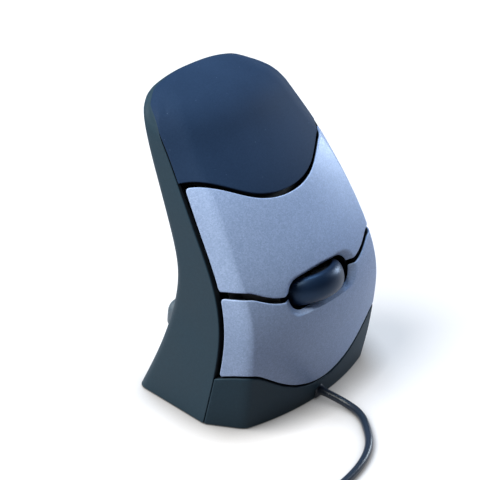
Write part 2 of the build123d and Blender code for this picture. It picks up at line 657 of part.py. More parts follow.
nodes["thumb_switch"] = body
nodes["thumb_switch_plunger"] = along_x(thumb_tip_x, plunger_end, 0, THUMB_Z, PLUNGER_RADIUS)

print("wheel")
hub_radius = WHEEL_RADIUS - TYRE_THICKNESS
shoulder = WHEEL_RADIUS - 2.2
half_wheel = WHEEL_WIDTH / 2
profile = [
    Edge.make_line((hub_radius, -half_wheel), (shoulder, -half_wheel)),
    Edge.make_three_point_arc((shoulder, -half_wheel), (WHEEL_RADIUS, 0), (shoulder, half_wheel)),
    Edge.make_line((shoulder, half_wheel), (hub_radius, half_wheel)),
    Edge.make_line((hub_radius, half_wheel), (hub_radius, -half_wheel)),
]
tyre = revolve(Face(Wire(profile)), axis=Axis.Y)
wheel_place = face.location * Pos(0, 0, AXLE_OUT)
nodes["wheel_tyre"] = wheel_place * tyre


def axle_piece(up0, up1, radius):
    """A round piece along the wheel's axle."""
    return wheel_place * Pos(0, up0, 0) * Rot(-90, 0, 0) * Solid.make_cylinder(radius, up1 - up0)


hub = axle_piece(-half_wheel + 0.6, half_wheel - 0.6, hub_radius)
for turn in range(6):
    angle = math.radians(60 * turn)
    hole = Pos(6.4 * math.cos(angle), -10, 6.4 * math.sin(angle)) * Rot(-90, 0, 0)
    hub = hub - wheel_place * hole * Solid.make_cylinder(1.9, 20)
hub = hub - axle_piece(-10, 10, AXLE_RADIUS)
nodes["wheel_hub"] = hub
nodes["wheel_axle"] = axle_piece(-GUIDE_UP - CHEEK_THICKNESS - 1.0, ENCODER_UP + 2.6, AXLE_RADIUS)

cheek_front = -7.6
yoke_front = AXLE_OUT - WHEEL_RADIUS - 0.8
yoke_back = yoke_front - 1.8
carrier = block(-CARRIER_HALF, CARRIER_HALF, GUIDE_UP, ENCODER_UP, yoke_back, cheek_front)
carrier = carrier + block(-CARRIER_HALF, CARRIER_HALF, -ENCODER_UP, -GUIDE_UP, yoke_back, cheek_front)
carrier = carrier + block(-CARRIER_HALF, CARRIER_HALF, -ENCODER_UP, ENCODER_UP, yoke_back, yoke_front)
arm_low = POST_END
carrier = carrier + block(-3, 3, -BUTTON_SWITCH_UP - 2.5, -GUIDE_UP, arm_low, arm_low + 2.2)
nodes["wheel_carrier"] = carrier - axle_piece(-20, 20, AXLE_RADIUS + RUNNING_FIT)
encoder = block(-5.5, 5.5, ENCODER_UP, ENCODER_UP + 3.2, AXLE_OUT - 5, cheek_front)
nodes["wheel_encoder"] = encoder - axle_piece(0, 20, AXLE_RADIUS + RUNNING_FIT)

print("electronics")
lens = box(APERTURE_X - 10, APERTURE_X + 10, -6.5, 6.5, PLATE_TOP, MAIN_BOARD_Z)
lens = lens + box(APERTURE_X - 3.6, APERTURE_X + 3.6, -2.6, 2.6, GROUND_GAP + 1, PLATE_TOP)
nodes["sensor_lens"] = lens
sensor = box(APERTURE_X - 5, APERTURE_X + 5, -6, 6, main_top, main_top + 2.6)
sensor_legs = []
for side in (-1, 1):
    for step in range(5):
        x = APERTURE_X - 4 + 2 * step
        sensor_legs.append(box(x - 0.3, x + 0.3, side * 6.6 - 0.6, side * 6.6 + 0.6, main_top, main_top + 1.2))
nodes["optical_sensor"] = fuse_all(sensor, sensor_legs)
led_z = main_top + LED_HEIGHT
led = along_x(LED_X - 6, LED_X, 0, led_z, LED_RADIUS)
led = led + (Pos(LED_X, 0, led_z) * Solid.make_sphere(LED_RADIUS, angle1=-90, angle2=90, angle3=360))
nodes["light_source"] = led
clip = box(LED_X - 5.4, LED_X + 1.0, -3.8, 3.8, main_top, main_top + 7)
nodes["light_clip"] = clip - along_x(LED_X - 8, LED_X + 8, 0, led_z, LED_RADIUS + RUNNING_FIT)

chip = box(-2, 13, 10.5, 17.5, main_top + 0.2, main_top + 2.2)
legs = []
for side in (-1, 1):
    for step in range(8):
        x = -1.0 + 1.86 * step
        y = 14 + side * 4.1
        legs.append(box(x - 0.25, x + 0.25, y - 0.7, y + 0.7, main_top, main_top + 1.2))
nodes["controller_chip"] = fuse_all(chip, legs)
crystal = extrude(Pos(-8, 16, main_top) * SlotOverall(10, 4.2), amount=3.4)
nodes["crystal"] = crystal
nodes["capacitor"] = upright(-9, -17, main_top, main_top + 7.5, 2.5)
nodes["cord_connector"] = box(2.5, 8, -6, 6, main_top, main_top + 4.6)

link = block(LINK_X[0], LINK_X[1], -28.6, -22, *LINK_OUT)
nodes["lower_link"] = link
nodes["main_link_socket"] = box(11, 14.9, LINK_X[0] - 1, LINK_X[1] + 1, main_top, main_top + 3.5) - link
lower_socket = block(LINK_X[0] - 1, LINK_X[1] + 1, -22, -18, -25, board_back)
upper_link = block(LINK_X[0], LINK_X[1], -18, 15, *LINK_OUT)
nodes["upper_link"] = upper_link
nodes["lower_link_socket"] = lower_socket
nodes["upper_link_socket"] = block(LINK_X[0] - 1, LINK_X[1] + 1, 15, 19, -25, board_back)

print("cord")


def corner_radii(points):
    """The largest round bends that the runs of a route leave room for."""
    radii = []
    for before, here, after in zip(points, points[1:], points[2:]):
        arrive = Vector(*here) - Vector(*before)
        leave = Vector(*after) - Vector(*here)
        turn = math.radians(arrive.get_angle(leave))
        radii.append(0.45 * min(arrive.length, leave.length) / math.tan(turn / 2))
    return radii


def tube(points, radius):
    """A round cord along straight runs joined by bends."""
    radii = corner_radii(points)
    path = FilletPolyline(*points, radius=radii)
    start = Plane(origin=points[0], z_dir=Vector(*points[1]) - Vector(*points[0]))
    solid = sweep(start * Circle(radius), path=path)
    full = math.pi * radius ** 2 * path.length
    print("  bends", [round(r, 1) for r in radii], "length", round(path.length, 1))
    print("  volume against section times length", round(solid.volume / full, 4))
    return solid, path.length


inner_route = [(GLAND_X, 0, EXIT_Z), (17.6, 0, EXIT_Z), (14.2, 0, 10.4), (8.0, 0, 10.4)]
nodes["inner_lead"], inner_length = tube(inner_route, CORD_RADIUS)
floor = CORD_RADIUS
CORD_ROUTE = [
    (EXIT_X, 0, EXIT_Z),
    (29.4, 0, EXIT_Z),
    (35.8, 1.6, 1.8),
    (43.0, 0.6, floor),
    (50.5, -4.0, floor),
    (56.0, -10.0, floor),
    (59.8, -18.0, floor),
    (61.8, -29.0, floor),
    (62.4, -42.0, floor),
    (61.2, -56.0, floor),
    (61.2, -70.0, floor),
    (62.65, -84.0, floor),
    (62.65, -96.8, floor),
]
nodes["cord_lead"], lead_length = tube(CORD_ROUTE, CORD_RADIUS)


def coil_halves():
    """Start, end and side of each half turn. The winding goes in and out again, and
    climbs a layer in the half turn where it turns back."""
    y = COIL_CENTRE[1]
    x = COIL_CENTRE[0] + COIL_RADIUS
    z = floor
    radius = COIL_RADIUS
    step = -COIL_PITCH / 2
    side = -1
    halves = []
    for layer, count in enumerate(HALF_TURNS):
        climbs = [0] * count
        if layer < len(HALF_TURNS) - 1:
            climbs.append(COIL_PITCH)
        for climb in climbs:
            end_x = x + side * 2 * radius
            halves.append((Vector(x, y, z), Vector(end_x, y, z + climb), side))
            x = end_x
            z += climb
            side = -side
            if climb:
                step = -step
            radius += step
    return halves


def coil_edges():
    """The coil's centre line: straight ends, and two quarter bends for each half turn."""
    halves = coil_halves()
    straight = Vector(0, 2 * CORD_RADIUS, 0)
    first_point = halves[0][0]
    last_point = halves[-1][1]
    edges = [Edge.make_line(first_point + straight, first_point)]
    for start, end, side in halves:
        away = Vector(0, side, 0)
        middle = (start + end) * 0.5 + away * ((end - start).length / 2)
        edges.append(Edge.make_tangent_arc(start, away, middle))
        edges.append(Edge.make_tangent_arc(middle, end - start, end))
    edges.append(Edge.make_line(last_point, last_point - straight))
    return edges


centre_line = coil_edges()
coil_path = Wire(centre_line)
coil_length = sum(edge.length for edge in centre_line)
print("  coil starts at", centre_line[0].position_at(0), "and is", round(coil_length, 1), "long")
coil_start = Plane(origin=centre_line[0].position_at(0), z_dir=(0, -1, 0))
coil = sweep(coil_start * Circle(CORD_RADIUS), path=coil_path)
nodes["cord_coil"] = coil
print("  volume against section times length", coil.volume / (math.pi * CORD_RADIUS ** 2 * coil_length))


def least_gap(edges, step):
    """Least gap between the coil's turns, measured on points along its centre line."""
    points = []
    along = 0.0
    for edge in edges:
        count = max(2, round(edge.length / step))
        for number in range(count):
            points.append((along + edge.length * number / count, edge.position_at(number / count)))
        along += edge.length
    least = 99.0
    for number, (place, point) in enumerate(points):
        for other_place, other in points[number + 1:]:
            if other_place - place > 8 * CORD_RADIUS:
                least = min(least, (point - other).length)
    return least - 2 * CORD_RADIUS


print("  least gap between turns", round(least_gap(centre_line, 3.0), 2))
coil_end = centre_line[-1].position_at(1)
TAIL_ROUTE = [
    (coil_end.X, coil_end.Y, coil_end.Z),
    (coil_end.X, coil_end.Y - 6.0, coil_end.Z),
    (coil_end.X - 3.9, coil_end.Y - 10.2, coil_end.Z + 3.6),
    (coil_end.X - 8.5, coil_end.Y - 10.3, PLUG_Z),
    (coil_end.X - 12.15, coil_end.Y - 10.3, PLUG_Z),
]
nodes["cord_tail"], tail_length = tube(TAIL_ROUTE, CORD_RADIUS)
print("  whole cord", round(lead_length + coil_length + tail_length, 1))

print("plug")
plug_place = Pos(*TAIL_ROUTE[-1]) * Rot(0, 0, 180)
relief = Rot(0, 90, 0) * Solid.make_cone(*RELIEF_RADII, RELIEF_LENGTH)
grip = Pos(RELIEF_LENGTH + GRIP[0] / 2, 0, 0) * Box(*GRIP)
grip = fillet(grip.edges().filter_by(Axis.X), GRIP_CORNER)
nodes["plug_grip"] = plug_place * (relief + grip)
shell_start = RELIEF_LENGTH + GRIP[0]
shell_middle = Pos(shell_start + PLUG_SHELL[0] / 2, 0, 0)
shell_hollow = Box(PLUG_SHELL[0] + 1, PLUG_SHELL[1] - 2 * PLUG_WALL, PLUG_SHELL[2] - 2 * PLUG_WALL)
nodes["plug_shell"] = plug_place * shell_middle * (Box(*PLUG_SHELL) - shell_hollow)
tongue_top = PLUG_SHELL[2] / 2 - PLUG_WALL
tongue_end = shell_start + TONGUE[0]
tongue_half = TONGUE[1] / 2
tongue = box(shell_start, tongue_end, -tongue_half, tongue_half, tongue_top - TONGUE[2], tongue_top)
nodes["plug_tongue"] = plug_place * tongue

for name, shape in nodes.items():
    export_step(shape, "parts/" + name + ".step")
print(len(nodes), "nodes written")
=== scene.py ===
import math

import bmesh
import bpy
import numpy as np
from mathutils import Matrix, Vector


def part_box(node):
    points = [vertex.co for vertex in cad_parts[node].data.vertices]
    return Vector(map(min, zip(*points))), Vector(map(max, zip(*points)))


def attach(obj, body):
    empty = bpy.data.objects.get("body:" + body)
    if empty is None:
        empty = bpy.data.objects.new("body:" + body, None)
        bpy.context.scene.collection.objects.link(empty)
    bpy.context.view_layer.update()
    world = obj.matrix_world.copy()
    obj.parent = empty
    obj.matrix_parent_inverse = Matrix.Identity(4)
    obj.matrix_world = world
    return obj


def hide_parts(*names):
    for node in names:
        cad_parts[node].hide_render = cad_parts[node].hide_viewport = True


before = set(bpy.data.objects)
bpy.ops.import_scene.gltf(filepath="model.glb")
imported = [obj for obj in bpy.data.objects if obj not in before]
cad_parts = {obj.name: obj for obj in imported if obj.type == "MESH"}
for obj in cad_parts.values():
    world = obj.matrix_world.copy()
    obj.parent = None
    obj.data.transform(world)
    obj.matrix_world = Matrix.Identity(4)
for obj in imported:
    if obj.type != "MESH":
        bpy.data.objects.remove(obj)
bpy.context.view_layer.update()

MM = 0.001

# Camera
TURN = math.radians(48.0992)
DOWN = math.radians(28.5584)
CAMERA = (306.186, -347.459, 303.053)
SENSOR_WIDTH, LENS = 36.0, 115.27
CLIP = (0.01, 50.0)

back_way = Vector((math.cos(TURN) * math.cos(DOWN), -math.sin(TURN) * math.cos(DOWN),
                   math.sin(DOWN)))
right_way = Vector((math.sin(TURN), math.cos(TURN), 0))
up_way = back_way.cross(right_way)
camera_data = bpy.data.cameras.new("camera")
camera_data.sensor_width = SENSOR_WIDTH
camera_data.lens = LENS
camera_data.clip_start, camera_data.clip_end = CLIP
camera = bpy.data.objects.new("camera", camera_data)
facing = Matrix((right_way, up_way, back_way)).transposed().to_4x4()
camera.matrix_world = Matrix.Translation(Vector(CAMERA) * MM) @ facing
bpy.context.scene.collection.objects.link(camera)
bpy.context.scene.camera = camera

# Casing lines, as in the part, in millimetres
WALL = 2.2
CAP_GAP, MIDDLE_GAP, FOOT_GAP, SIDE_GAP = 1.1, 1.6, 1.0, 1.4
# Along the height LEVELS: where the thumb side's edge, the seam between the shells and the
# crease of the finger side lie, and how far both sides bulge
LEVELS = [0, 12, 24, 38, 52, 66, 80, 92, 99, 103, 105.4]
EDGE_X = [-24.8, -18.8, -13.5, -8.7, -6.9, -10.5, -16.7, -23.3, -27.3, -30.0, -30.3]
EDGE_Y = [35.2, 34.9, 34.6, 34.4, 34.2, 33.7, 32.4, 30.0, 27.2, 22.0, 16.0]
SEAM_X = [7.2, 10.3, 12.9, 14.1, 11.2, 4.0, -4.9, -14.5, -21.3, -26.0, -28.5]
SEAM_Y = [37.2, 37.2, 36.9, 36.4, 35.8, 35.0, 33.4, 30.8, 28.0, 22.5, 16.3]
CREASE_X = [19.5, 21.6, 23.0, 23.5, 19.3, 11.7, 2.1, -8.3, -15.0, -21.5, -26.0]
CREASE_Y = [30.3, 31.4, 32.0, 32.0, 31.4, 30.0, 27.4, 24.2, 21.6, 17.0, 12.0]
FACE_BULGE = [5.3, 5.3, 5.2, 5.0, 4.8, 4.6, 4.4, 4.0, 3.6, 2.5, 1.5]
THUMB_BULGE = [6, 5.5, 5, 4.5, 4, 3.5, 3, 2.5, 2, 1.5, 1]
# Lines across the face: (distance from the middle, height)
CROWN = [(0, 105.3), (10, 104.9), (15, 104.2), (19, 103.2), (23.5, 101.2), (28, 97.6), (31, 92)]
CAP_LINE = [(0, 74.0), (9.5, 75.0), (14.2, 76.4), (19.5, 78.8), (24, 80.9), (28, 82.1), (34, 81.4)]
MIDDLE_LINE = [(0, 45.4), (10, 45.7), (16, 46.3), (21, 47.4), (25, 49.2), (29, 51.2), (35, 51.4)]
FOOT_LINE = [(0, 8.7), (5, 9.2), (9.5, 10.4), (14, 12.2), (19.2, 15.2), (25, 19.3), (32, 22.6),
             (37, 20.6)]

# The finger side
CREASE_HALF = 1.5          # the crease is rounded over this much either side
CREASE_AT = 0.85           # share of the way across at which the crease lies
FACE_POINT = (26.8948, 0.0, 45.2)   # middle of the wheel's opening
LEAN = math.radians(17.0)
SLOT_CORE, SLOT_ROUND = 9.8, 5.3    # the wheel's opening: half its straight part, its end radius
SCOOP_CORE, SCOOP_ROUND = 5.2, 2.5  # and how much larger both are at the rim of the scoop
SCOOP_LOW, SCOOP_HIGH = -2.6, 1.0   # how far out the scoop lies at the opening and at its rim
SCOOP_SOFT = 0.35          # its rim is rounded where it and the face differ by less than this
FACE_SLOPE = 1.15          # length along the face for each millimetre of height
SLOPE_STEP = 0.03          # step over which slopes of the face are measured
SHARP = math.radians(40)   # faces that meet at a larger angle keep a sharp edge
RIM_STEPS = 4              # rows of faces round the rounded edge of a sheet


def spline(xs, ys):
    """A smooth curve through the points, as a function that takes arrays."""
    xs = np.array(xs, float)
    ys = np.array(ys, float)
    count = len(xs)
    h = np.diff(xs)
    a = np.zeros((count, count))
    b = np.zeros(count)
    a[0, 0] = a[-1, -1] = 1
    for i in range(1, count - 1):
        a[i, i - 1] = h[i - 1]
        a[i, i] = 2 * (h[i - 1] + h[i])
        a[i, i + 1] = h[i]
        b[i] = 6 * ((ys[i + 1] - ys[i]) / h[i] - (ys[i] - ys[i - 1]) / h[i - 1])
    m = np.linalg.solve(a, b)

    def value(x):
        x = np.asarray(x, float)
        i = np.clip(np.searchsorted(xs, x) - 1, 0, count - 2)
        t = x - xs[i]
        run = h[i]
        slope = (ys[i + 1] - ys[i]) / run - run * (2 * m[i] + m[i + 1]) / 6
        return ys[i] + t * slope + t * t * m[i] / 2 + t ** 3 * (m[i + 1] - m[i]) / (6 * run)

    return value


def across(points):
    """A line across the face from half of it, as height against distance from the middle."""
    ys = [-y for y, z in reversed(points) if y > 0] + [y for y, z in points]
    zs = [z for y, z in reversed(points) if y > 0] + [z for y, z in points]
    return spline(ys, zs)


edge_x, edge_y = spline(LEVELS, EDGE_X), spline(LEVELS, EDGE_Y)
seam_x, seam_y = spline(LEVELS, SEAM_X), spline(LEVELS, SEAM_Y)
crease_x, crease_y = spline(LEVELS, CREASE_X), spline(LEVELS, CREASE_Y)
face_bulge, thumb_bulge = spline(LEVELS, FACE_BULGE), spline(LEVELS, THUMB_BULGE)
crown_line, cap_line = across(CROWN), across(CAP_LINE)
middle_line, foot_line = across(MIDDLE_LINE), across(FOOT_LINE)


def smooth_min(a, b, soft):
    """The lower of two heights, blended where they differ by less than soft."""
    h = np.clip(soft - np.abs(a - b), 0, None) / soft
    return np.minimum(a, b) - h * h * soft / 4


def plain_x(y, z):
    """The finger side: a bulged face with a band at either side, softly creased."""
    cx, cy, bulge = crease_x(z), crease_y(z), face_bulge(z)
    radius = (cy ** 2 + bulge ** 2) / (2 * bulge)
    arc = cx + bulge - radius + np.sqrt(np.maximum(radius ** 2 - y ** 2, 0))
    sx, sy = seam_x(z), seam_y(z)
    band = sx + (sy - np.abs(y)) / (sy - cy) * (cx - sx)
    bend = (cx - sx) / (sy - cy) - cy / np.sqrt(radius ** 2 - cy ** 2)
    return smooth_min(arc, band, CREASE_HALF * bend)


def scoop_out(y, z):
    """How far out the scoop round the wheel lies, in the wheel's frame, and the height there."""
    y, z = np.broadcast_arrays(np.abs(np.asarray(y, float)), np.asarray(z, float))
    out = np.full(y.shape, -1.0)
    for again in range(8):
        up = (z - FACE_POINT[2] - out * math.sin(LEAN)) / math.cos(LEAN)
        share = (np.abs(up) - SLOT_ROUND) / SCOOP_ROUND
        beyond = y - SLOT_CORE
        a = SCOOP_CORE ** 2 - SCOOP_ROUND ** 2
        b = -2 * (beyond * SCOOP_CORE + SLOT_ROUND * SCOOP_ROUND)
        c = beyond ** 2 + up ** 2 - SLOT_ROUND ** 2
        root = (-b - np.sqrt(np.maximum(b * b - 4 * a * c, 0))) / (2 * a)
        share = np.where(SLOT_CORE + SCOOP_CORE * share >= y, share, root)
        share = np.clip(share, -0.4, 3.0)
        out = SCOOP_LOW + (SCOOP_HIGH - SCOOP_LOW) * share
    return out, up


def face_x(y, z):
    """The finger side with the scoop round the wheel."""
    out, up = scoop_out(y, z)
    scoop = FACE_POINT[0] + out * math.cos(LEAN) - up * math.sin(LEAN)
    return smooth_min(plain_x(y, z), scoop, SCOOP_SOFT)


def face_normal(y, z, form):
    """The outward normals of a form that gives X from Y and Z."""
    h = SLOPE_STEP
    gy = (form(y + h, z) - form(y - h, z)) / (2 * h)
    gz = (form(y, z + h) - form(y, z - h)) / (2 * h)
    n = np.stack([np.ones_like(gy), -gy, -gz], -1)
    return n / np.linalg.norm(n, axis=-1, keepdims=True)


def side_y(z, gap):
    """Where the band ends, gap short of the seam."""
    sx, sy, cx, cy = seam_x(z), seam_y(z), crease_x(z), crease_y(z)
    return sy - gap * (sy - cy) / (cx - sx)


def place_y(s, z, gap):
    """Y at a share s of the way across, with the crease always at the same share."""
    cy, edge = crease_y(z), side_y(z, gap)
    a = np.abs(s)
    inner = a / CREASE_AT * cy
    outer = cy + (a - CREASE_AT) / (1 - CREASE_AT) * (edge - cy)
    return np.sign(s) * np.where(a < CREASE_AT, inner, outer)


def on_line(s, line, gap):
    """Height of a line across the face at a share s of the way across."""
    z = line(np.zeros_like(s))
    for again in range(30):
        z = line(place_y(s, z, gap))
    return z


def spaced(stops):
    """Values from stop to stop: a list of (value, spacing there), spacing changing evenly."""
    values = [stops[0][0]]
    for (a, da), (b, db) in zip(stops, stops[1:]):
        count = max(1, round(2 * (b - a) / (da + db)))
        t = np.arange(1, count + 1) / count
        grow = (db - da) / (da + db)
        values += list(a + (b - a) * (t * (1 - grow) + t * t * grow))
    return np.array(values)


def unit(v):
    """Vectors brought to length 1."""
    return v / np.maximum(np.linalg.norm(v, axis=-1, keepdims=True), 1e-12)


def shade_smooth(shape):
    """Smooth shading with sharp edges where a bmesh's faces meet at a large angle."""
    for face in shape.faces:
        face.smooth = True
    for edge in shape.edges:
        edge.smooth = not (len(edge.link_faces) == 2 and edge.calc_face_angle() > SHARP)


def mesh_of(name, vertices, faces):
    """A mesh from points in millimetres."""
    mesh = bpy.data.meshes.new(name)
    mesh.from_pydata([tuple(v) for v in np.asarray(vertices) * MM], [], faces)
    return mesh


def new_object(name, vertices, faces, body, replaced=(), gap_shade=None):
    """A smooth mesh object from points in millimetres, riding on a body. The last argument
    marks each point that gets the painted shade of the gaps: the walls and inner side."""
    mesh = mesh_of(name, vertices, faces)
    if gap_shade is not None:
        marks = mesh.attributes.new("gap_shade", "FLOAT", "POINT")
        marks.data.foreach_set("value", gap_shade.astype(np.float32))
    mesh.update()
    made = bmesh.new()
    made.from_mesh(mesh)
    bmesh.ops.remove_doubles(made, verts=made.verts, dist=2e-6)
    bmesh.ops.recalc_face_normals(made, faces=made.faces)
    shade_smooth(made)
    made.to_mesh(mesh)
    made.free()
    obj = bpy.data.objects.new(name, mesh)
    bpy.context.scene.collection.objects.link(obj)
    if replaced:
        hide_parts(*replaced)
    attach(obj, body)
    return obj


def closed_sheet(points, normals, depth, rim):
    """Vertices and faces of a moulded sheet with rounded edges: a grid of points, its
    thickness, and the radius at which every edge rolls over."""
    rows, cols = points.shape[:2]
    depth = np.broadcast_to(depth, (rows, cols))
    loop = [(0, c) for c in range(cols)] + [(r, cols - 1) for r in range(1, rows)]
    loop += [(rows - 1, c) for c in range(cols - 2, -1, -1)]
    loop += [(r, 0) for r in range(rows - 2, 0, -1)]
    at = np.array(loop)
    line, up = points[at[:, 0], at[:, 1]], normals[at[:, 0], at[:, 1]]
    deep = depth[at[:, 0], at[:, 1]][:, None]
    rim = np.broadcast_to(rim, (rows, cols))[at[:, 0], at[:, 1]][:, None]
    along = unit(np.roll(line, -1, 0) - np.roll(line, 1, 0))
    out = unit(np.cross(along, up))
    rings = []
    for step in range(1, RIM_STEPS + 1):
        angle = math.pi / 2 * step / RIM_STEPS
        rings.append(line + rim * math.sin(angle) * out - rim * (1 - math.cos(angle)) * up)
    rings.append(line + rim * out - deep * up)
    inner = points - depth[..., None] * normals
    vertices = [points.reshape(-1, 3)] + rings + [inner.reshape(-1, 3)]
    count = len(loop)
    outer_loop = [r * cols + c for r, c in loop]
    loops = [outer_loop]
    start = rows * cols
    for ring in rings:
        loops.append(list(range(start, start + count)))
        start += count
    loops.append([start + i for i in outer_loop])
    faces = []
    for r in range(rows - 1):
        for c in range(cols - 1):
            a = r * cols + c
            faces.append((a, a + 1, a + 1 + cols, a + cols))
            faces.append((start + a + cols, start + a + 1 + cols, start + a + 1, start + a))
    for one, two in zip(loops, loops[1:]):
        for i in range(count):
            j = (i + 1) % count
            faces.append((one[j], one[i], two[i], two[j]))
    return np.concatenate(vertices), faces


def gap_shade_marks(points):
    """Marks a closed sheet's walls and inner side, behind its face and rounded edges, for the
    painted shade of the gaps.
    """
    rows, cols = points.shape[:2]
    count = 2 * (rows + cols) - 4
    return np.concatenate([np.zeros(rows * cols + RIM_STEPS * count), np.ones(count + rows * cols)])


def round_corners(side, below, above, radius):
    """Distances from a side, from the lower and from the upper edge, moved so that the
    corners between them are round."""
    for other in (below, above):
        p = np.clip(radius - side, 0, None)
        q = np.clip(radius - other, 0, None)
        both = (p > 0) & (q > 0)
        size = np.hypot(p, q)
        shrink = np.where(both, np.maximum(p, q) / np.maximum(size, 1e-9), 1)
        side = np.where(both, radius - p * shrink, side)
        moved = np.where(both, radius - q * shrink, other)
        if other is below:
            above = above + (below - moved)
            below = moved
        else:
            below = below + (above - moved)
            above = moved
    return side, below, above


def face_patch(low, high, gap, columns, rows, form, rounded):
    """Points and normals of a piece of the finger side, between two curves that give
    share across and height for each column. rounded is its corners' radius, or 0."""
    c, v = np.meshgrid(columns, rows)
    if rounded:
        z_low, z_high = low(columns)[1], high(columns)[1]
        tall = np.broadcast_to((z_high - z_low)[None, :] * FACE_SLOPE, c.shape)
        middle = (z_low + z_high) / 2
        sx, cx = seam_x(middle) + gap, crease_x(middle)
        wide = np.hypot(cx - sx, side_y(middle, gap) - crease_y(middle))[None, :]
        side = (1 - np.abs(c)) / (1 - CREASE_AT) * wide
        side, below, above = round_corners(side, v * tall, (1 - v) * tall, rounded)
        v = below / tall
        a = 1 - side / wide * (1 - CREASE_AT)
        c = np.where(np.abs(c) > 0.7, np.sign(c) * a, c)
    s_low, z_low = low(c)
    s_high, z_high = high(c)
    s = s_low * (1 - v) + s_high * v
    z = z_low * (1 - v) + z_high * v
    y = place_y(s, z, gap)
    points = np.stack([form(y, z), y, z], -1)
    return points, face_normal(y, z, form)


def plain_edge(line, gap):
    """An edge along a line across the face, as share across and height for each column."""
    def at(c):
        return c, on_line(c, line, gap)
    return at


WHEEL_SHARE = 0.46         # share of the columns that the wheel's opening takes


def wheel_edge(line, gap, way):
    """An edge along a line across the face that goes round the wheel's opening: way is
    1 for its upper half and -1 for its lower half."""
    angle = np.linspace(0, math.pi / 2, 120)
    end_y, end_up = SLOT_CORE + SLOT_ROUND * np.cos(angle), SLOT_ROUND * np.sin(angle)
    straight = np.linspace(-SLOT_CORE, SLOT_CORE, 200)[1:-1]
    y = np.concatenate([-end_y, straight, end_y[::-1]])
    up = way * np.concatenate([end_up, np.full(len(straight), SLOT_ROUND), end_up[::-1]])
    z = FACE_POINT[2] + SCOOP_LOW * math.sin(LEAN) + up * math.cos(LEAN)
    keep = way * (z - line(y)) > 0
    y, z = y[keep], z[keep]
    s_reach = abs(y[0]) / crease_y(z[0]) * CREASE_AT
    s = y / crease_y(z) * CREASE_AT
    run = np.concatenate([[0], np.cumsum(np.hypot(np.diff(y), np.diff(z)))])
    run = run / run[-1] * 2 - 1

    def at(c):
        share = np.clip(c / WHEEL_SHARE, -1, 1)
        inside = np.abs(c) < WHEEL_SHARE
        past = (np.abs(c) - WHEEL_SHARE) / (1 - WHEEL_SHARE)
        beyond = np.sign(c) * (s_reach + past * (1 - s_reach))
        z_beyond = on_line(beyond, line, gap)
        s_at = np.where(inside, np.interp(share, run, s), beyond)
        z_at = np.where(inside, np.interp(share, run, z), z_beyond)
        return s_at, z_at
    return at


columns_half = spaced([(0, 0.022), (0.36, 0.014), (0.46, 0.008), (0.5, 0.012), (0.66, 0.02),
                       (0.78, 0.010), (0.84, 0.0065), (0.88, 0.0065), (0.97, 0.010), (1.0, 0.004)])
columns = np.concatenate([-columns_half[:0:-1], columns_half])


def moved_line(line, shift):
    """A line across the face, moved up by shift."""
    return lambda y: line(y) + shift


# Cord
CORD_RADIUS = 1.35
FLOOR = CORD_RADIUS        # height of a cord that lies on the ground
EXIT = (25.9, 0.0, 3.5)
LEAD = [EXIT, (29.4, 0, 3.5), (35.8, 1.6, 1.8), (43.0, 0.6, FLOOR), (49.6, -4.6, FLOOR),
        (55.3, -10.4, FLOOR), (59.4, -18.2, FLOOR), (61.9, -28.4, FLOOR), (62.6, -42.0, FLOOR),
        (61.2, -56.0, FLOOR), (61.2, -70.0, FLOOR), (62.65, -84.0, FLOOR), (62.65, -96.8, FLOOR)]
COIL_CENTRE = (42.65, -99.5)
COIL_PITCH = 3.15
COIL_RADIUS = 20.0
HALF_TURNS = [7, 7, 7, 8]  # of each layer, from the ground up
TAIL = [(62.65, -102.2, 10.8), (62.65, -108.2, 10.8), (58.75, -112.4, 14.4),
        (54.15, -112.5, 15.95), (50.5, -112.5, 15.95)]
POINTS_A_HALF_TURN = 8


def coil_points():
    """Control points of the coil: half turns that wind in and out again, and climb a
    layer in the half turn where they turn back."""
    x = COIL_CENTRE[0] + COIL_RADIUS
    z = FLOOR
    radius = COIL_RADIUS
    step = -COIL_PITCH / 2
    side = -1
    wider = 1 / math.cos(math.pi / POINTS_A_HALF_TURN / 2)
    points = []
    for layer, count in enumerate(HALF_TURNS):
        climbs = [0] * count
        if layer < len(HALF_TURNS) - 1:
            climbs.append(COIL_PITCH)
        for climb in climbs:
            middle = x + side * radius
            for number in range(POINTS_A_HALF_TURN):
                share = (number + 0.5) / POINTS_A_HALF_TURN
                angle = math.pi * share
                px = middle - side * radius * wider * math.cos(angle)
                py = COIL_CENTRE[1] + side * radius * wider * math.sin(angle)
                points.append((px, py, z + climb * share))
            x += side * 2 * radius
            z += climb
            side = -side
            if climb:
                step = -step
            radius += step
    return points


route = LEAD + coil_points() + TAIL
curve = bpy.data.curves.new("cord", "CURVE")
curve.dimensions = "3D"
line = curve.splines.new("NURBS")
line.points.add(len(route) - 1)
for point, place in zip(line.points, route):
    point.co = (place[0] * MM, place[1] * MM, place[2] * MM, 1)
    point.radius = CORD_RADIUS * MM
line.order_u = 3
line.use_endpoint_u = True
line.resolution_u = 8
curve.resolution_u = 8
curve.bevel_depth = 1.0      # times each point's radius
curve.bevel_resolution = 5
curve.use_fill_caps = True
cord = bpy.data.objects.new("cord", curve)
bpy.context.scene.collection.objects.link(cord)
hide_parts("cord_lead", "cord_coil", "cord_tail")
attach(cord, "housing")

# Buttons
RIM = 0.35                 # radius at which a button's edge rolls over
ROUND = 0.9                # corner radius of the buttons, seen from the front
THIN = 0.4                 # how thick a button is at the wheel's opening
THIN_SIDE = 0.45           # share of its thickness that is left at its sides
button_gap = SIDE_GAP + RIM
rows_tall = spaced([(0, 0.010), (0.03, 0.014), (0.2, 0.02), (0.85, 0.035), (0.97, 0.015),
                    (1, 0.008)])


def thickness(points):
    """How thick a button is: less towards the wheel's opening and towards its sides."""
    out = scoop_out(points[..., 1], points[..., 2])[0]
    at_sides = np.interp(np.abs(columns), [0.90, 1.0], [1, THIN_SIDE])
    return np.interp(out, [SCOOP_LOW, -0.6], [THIN, WALL]) * at_sides


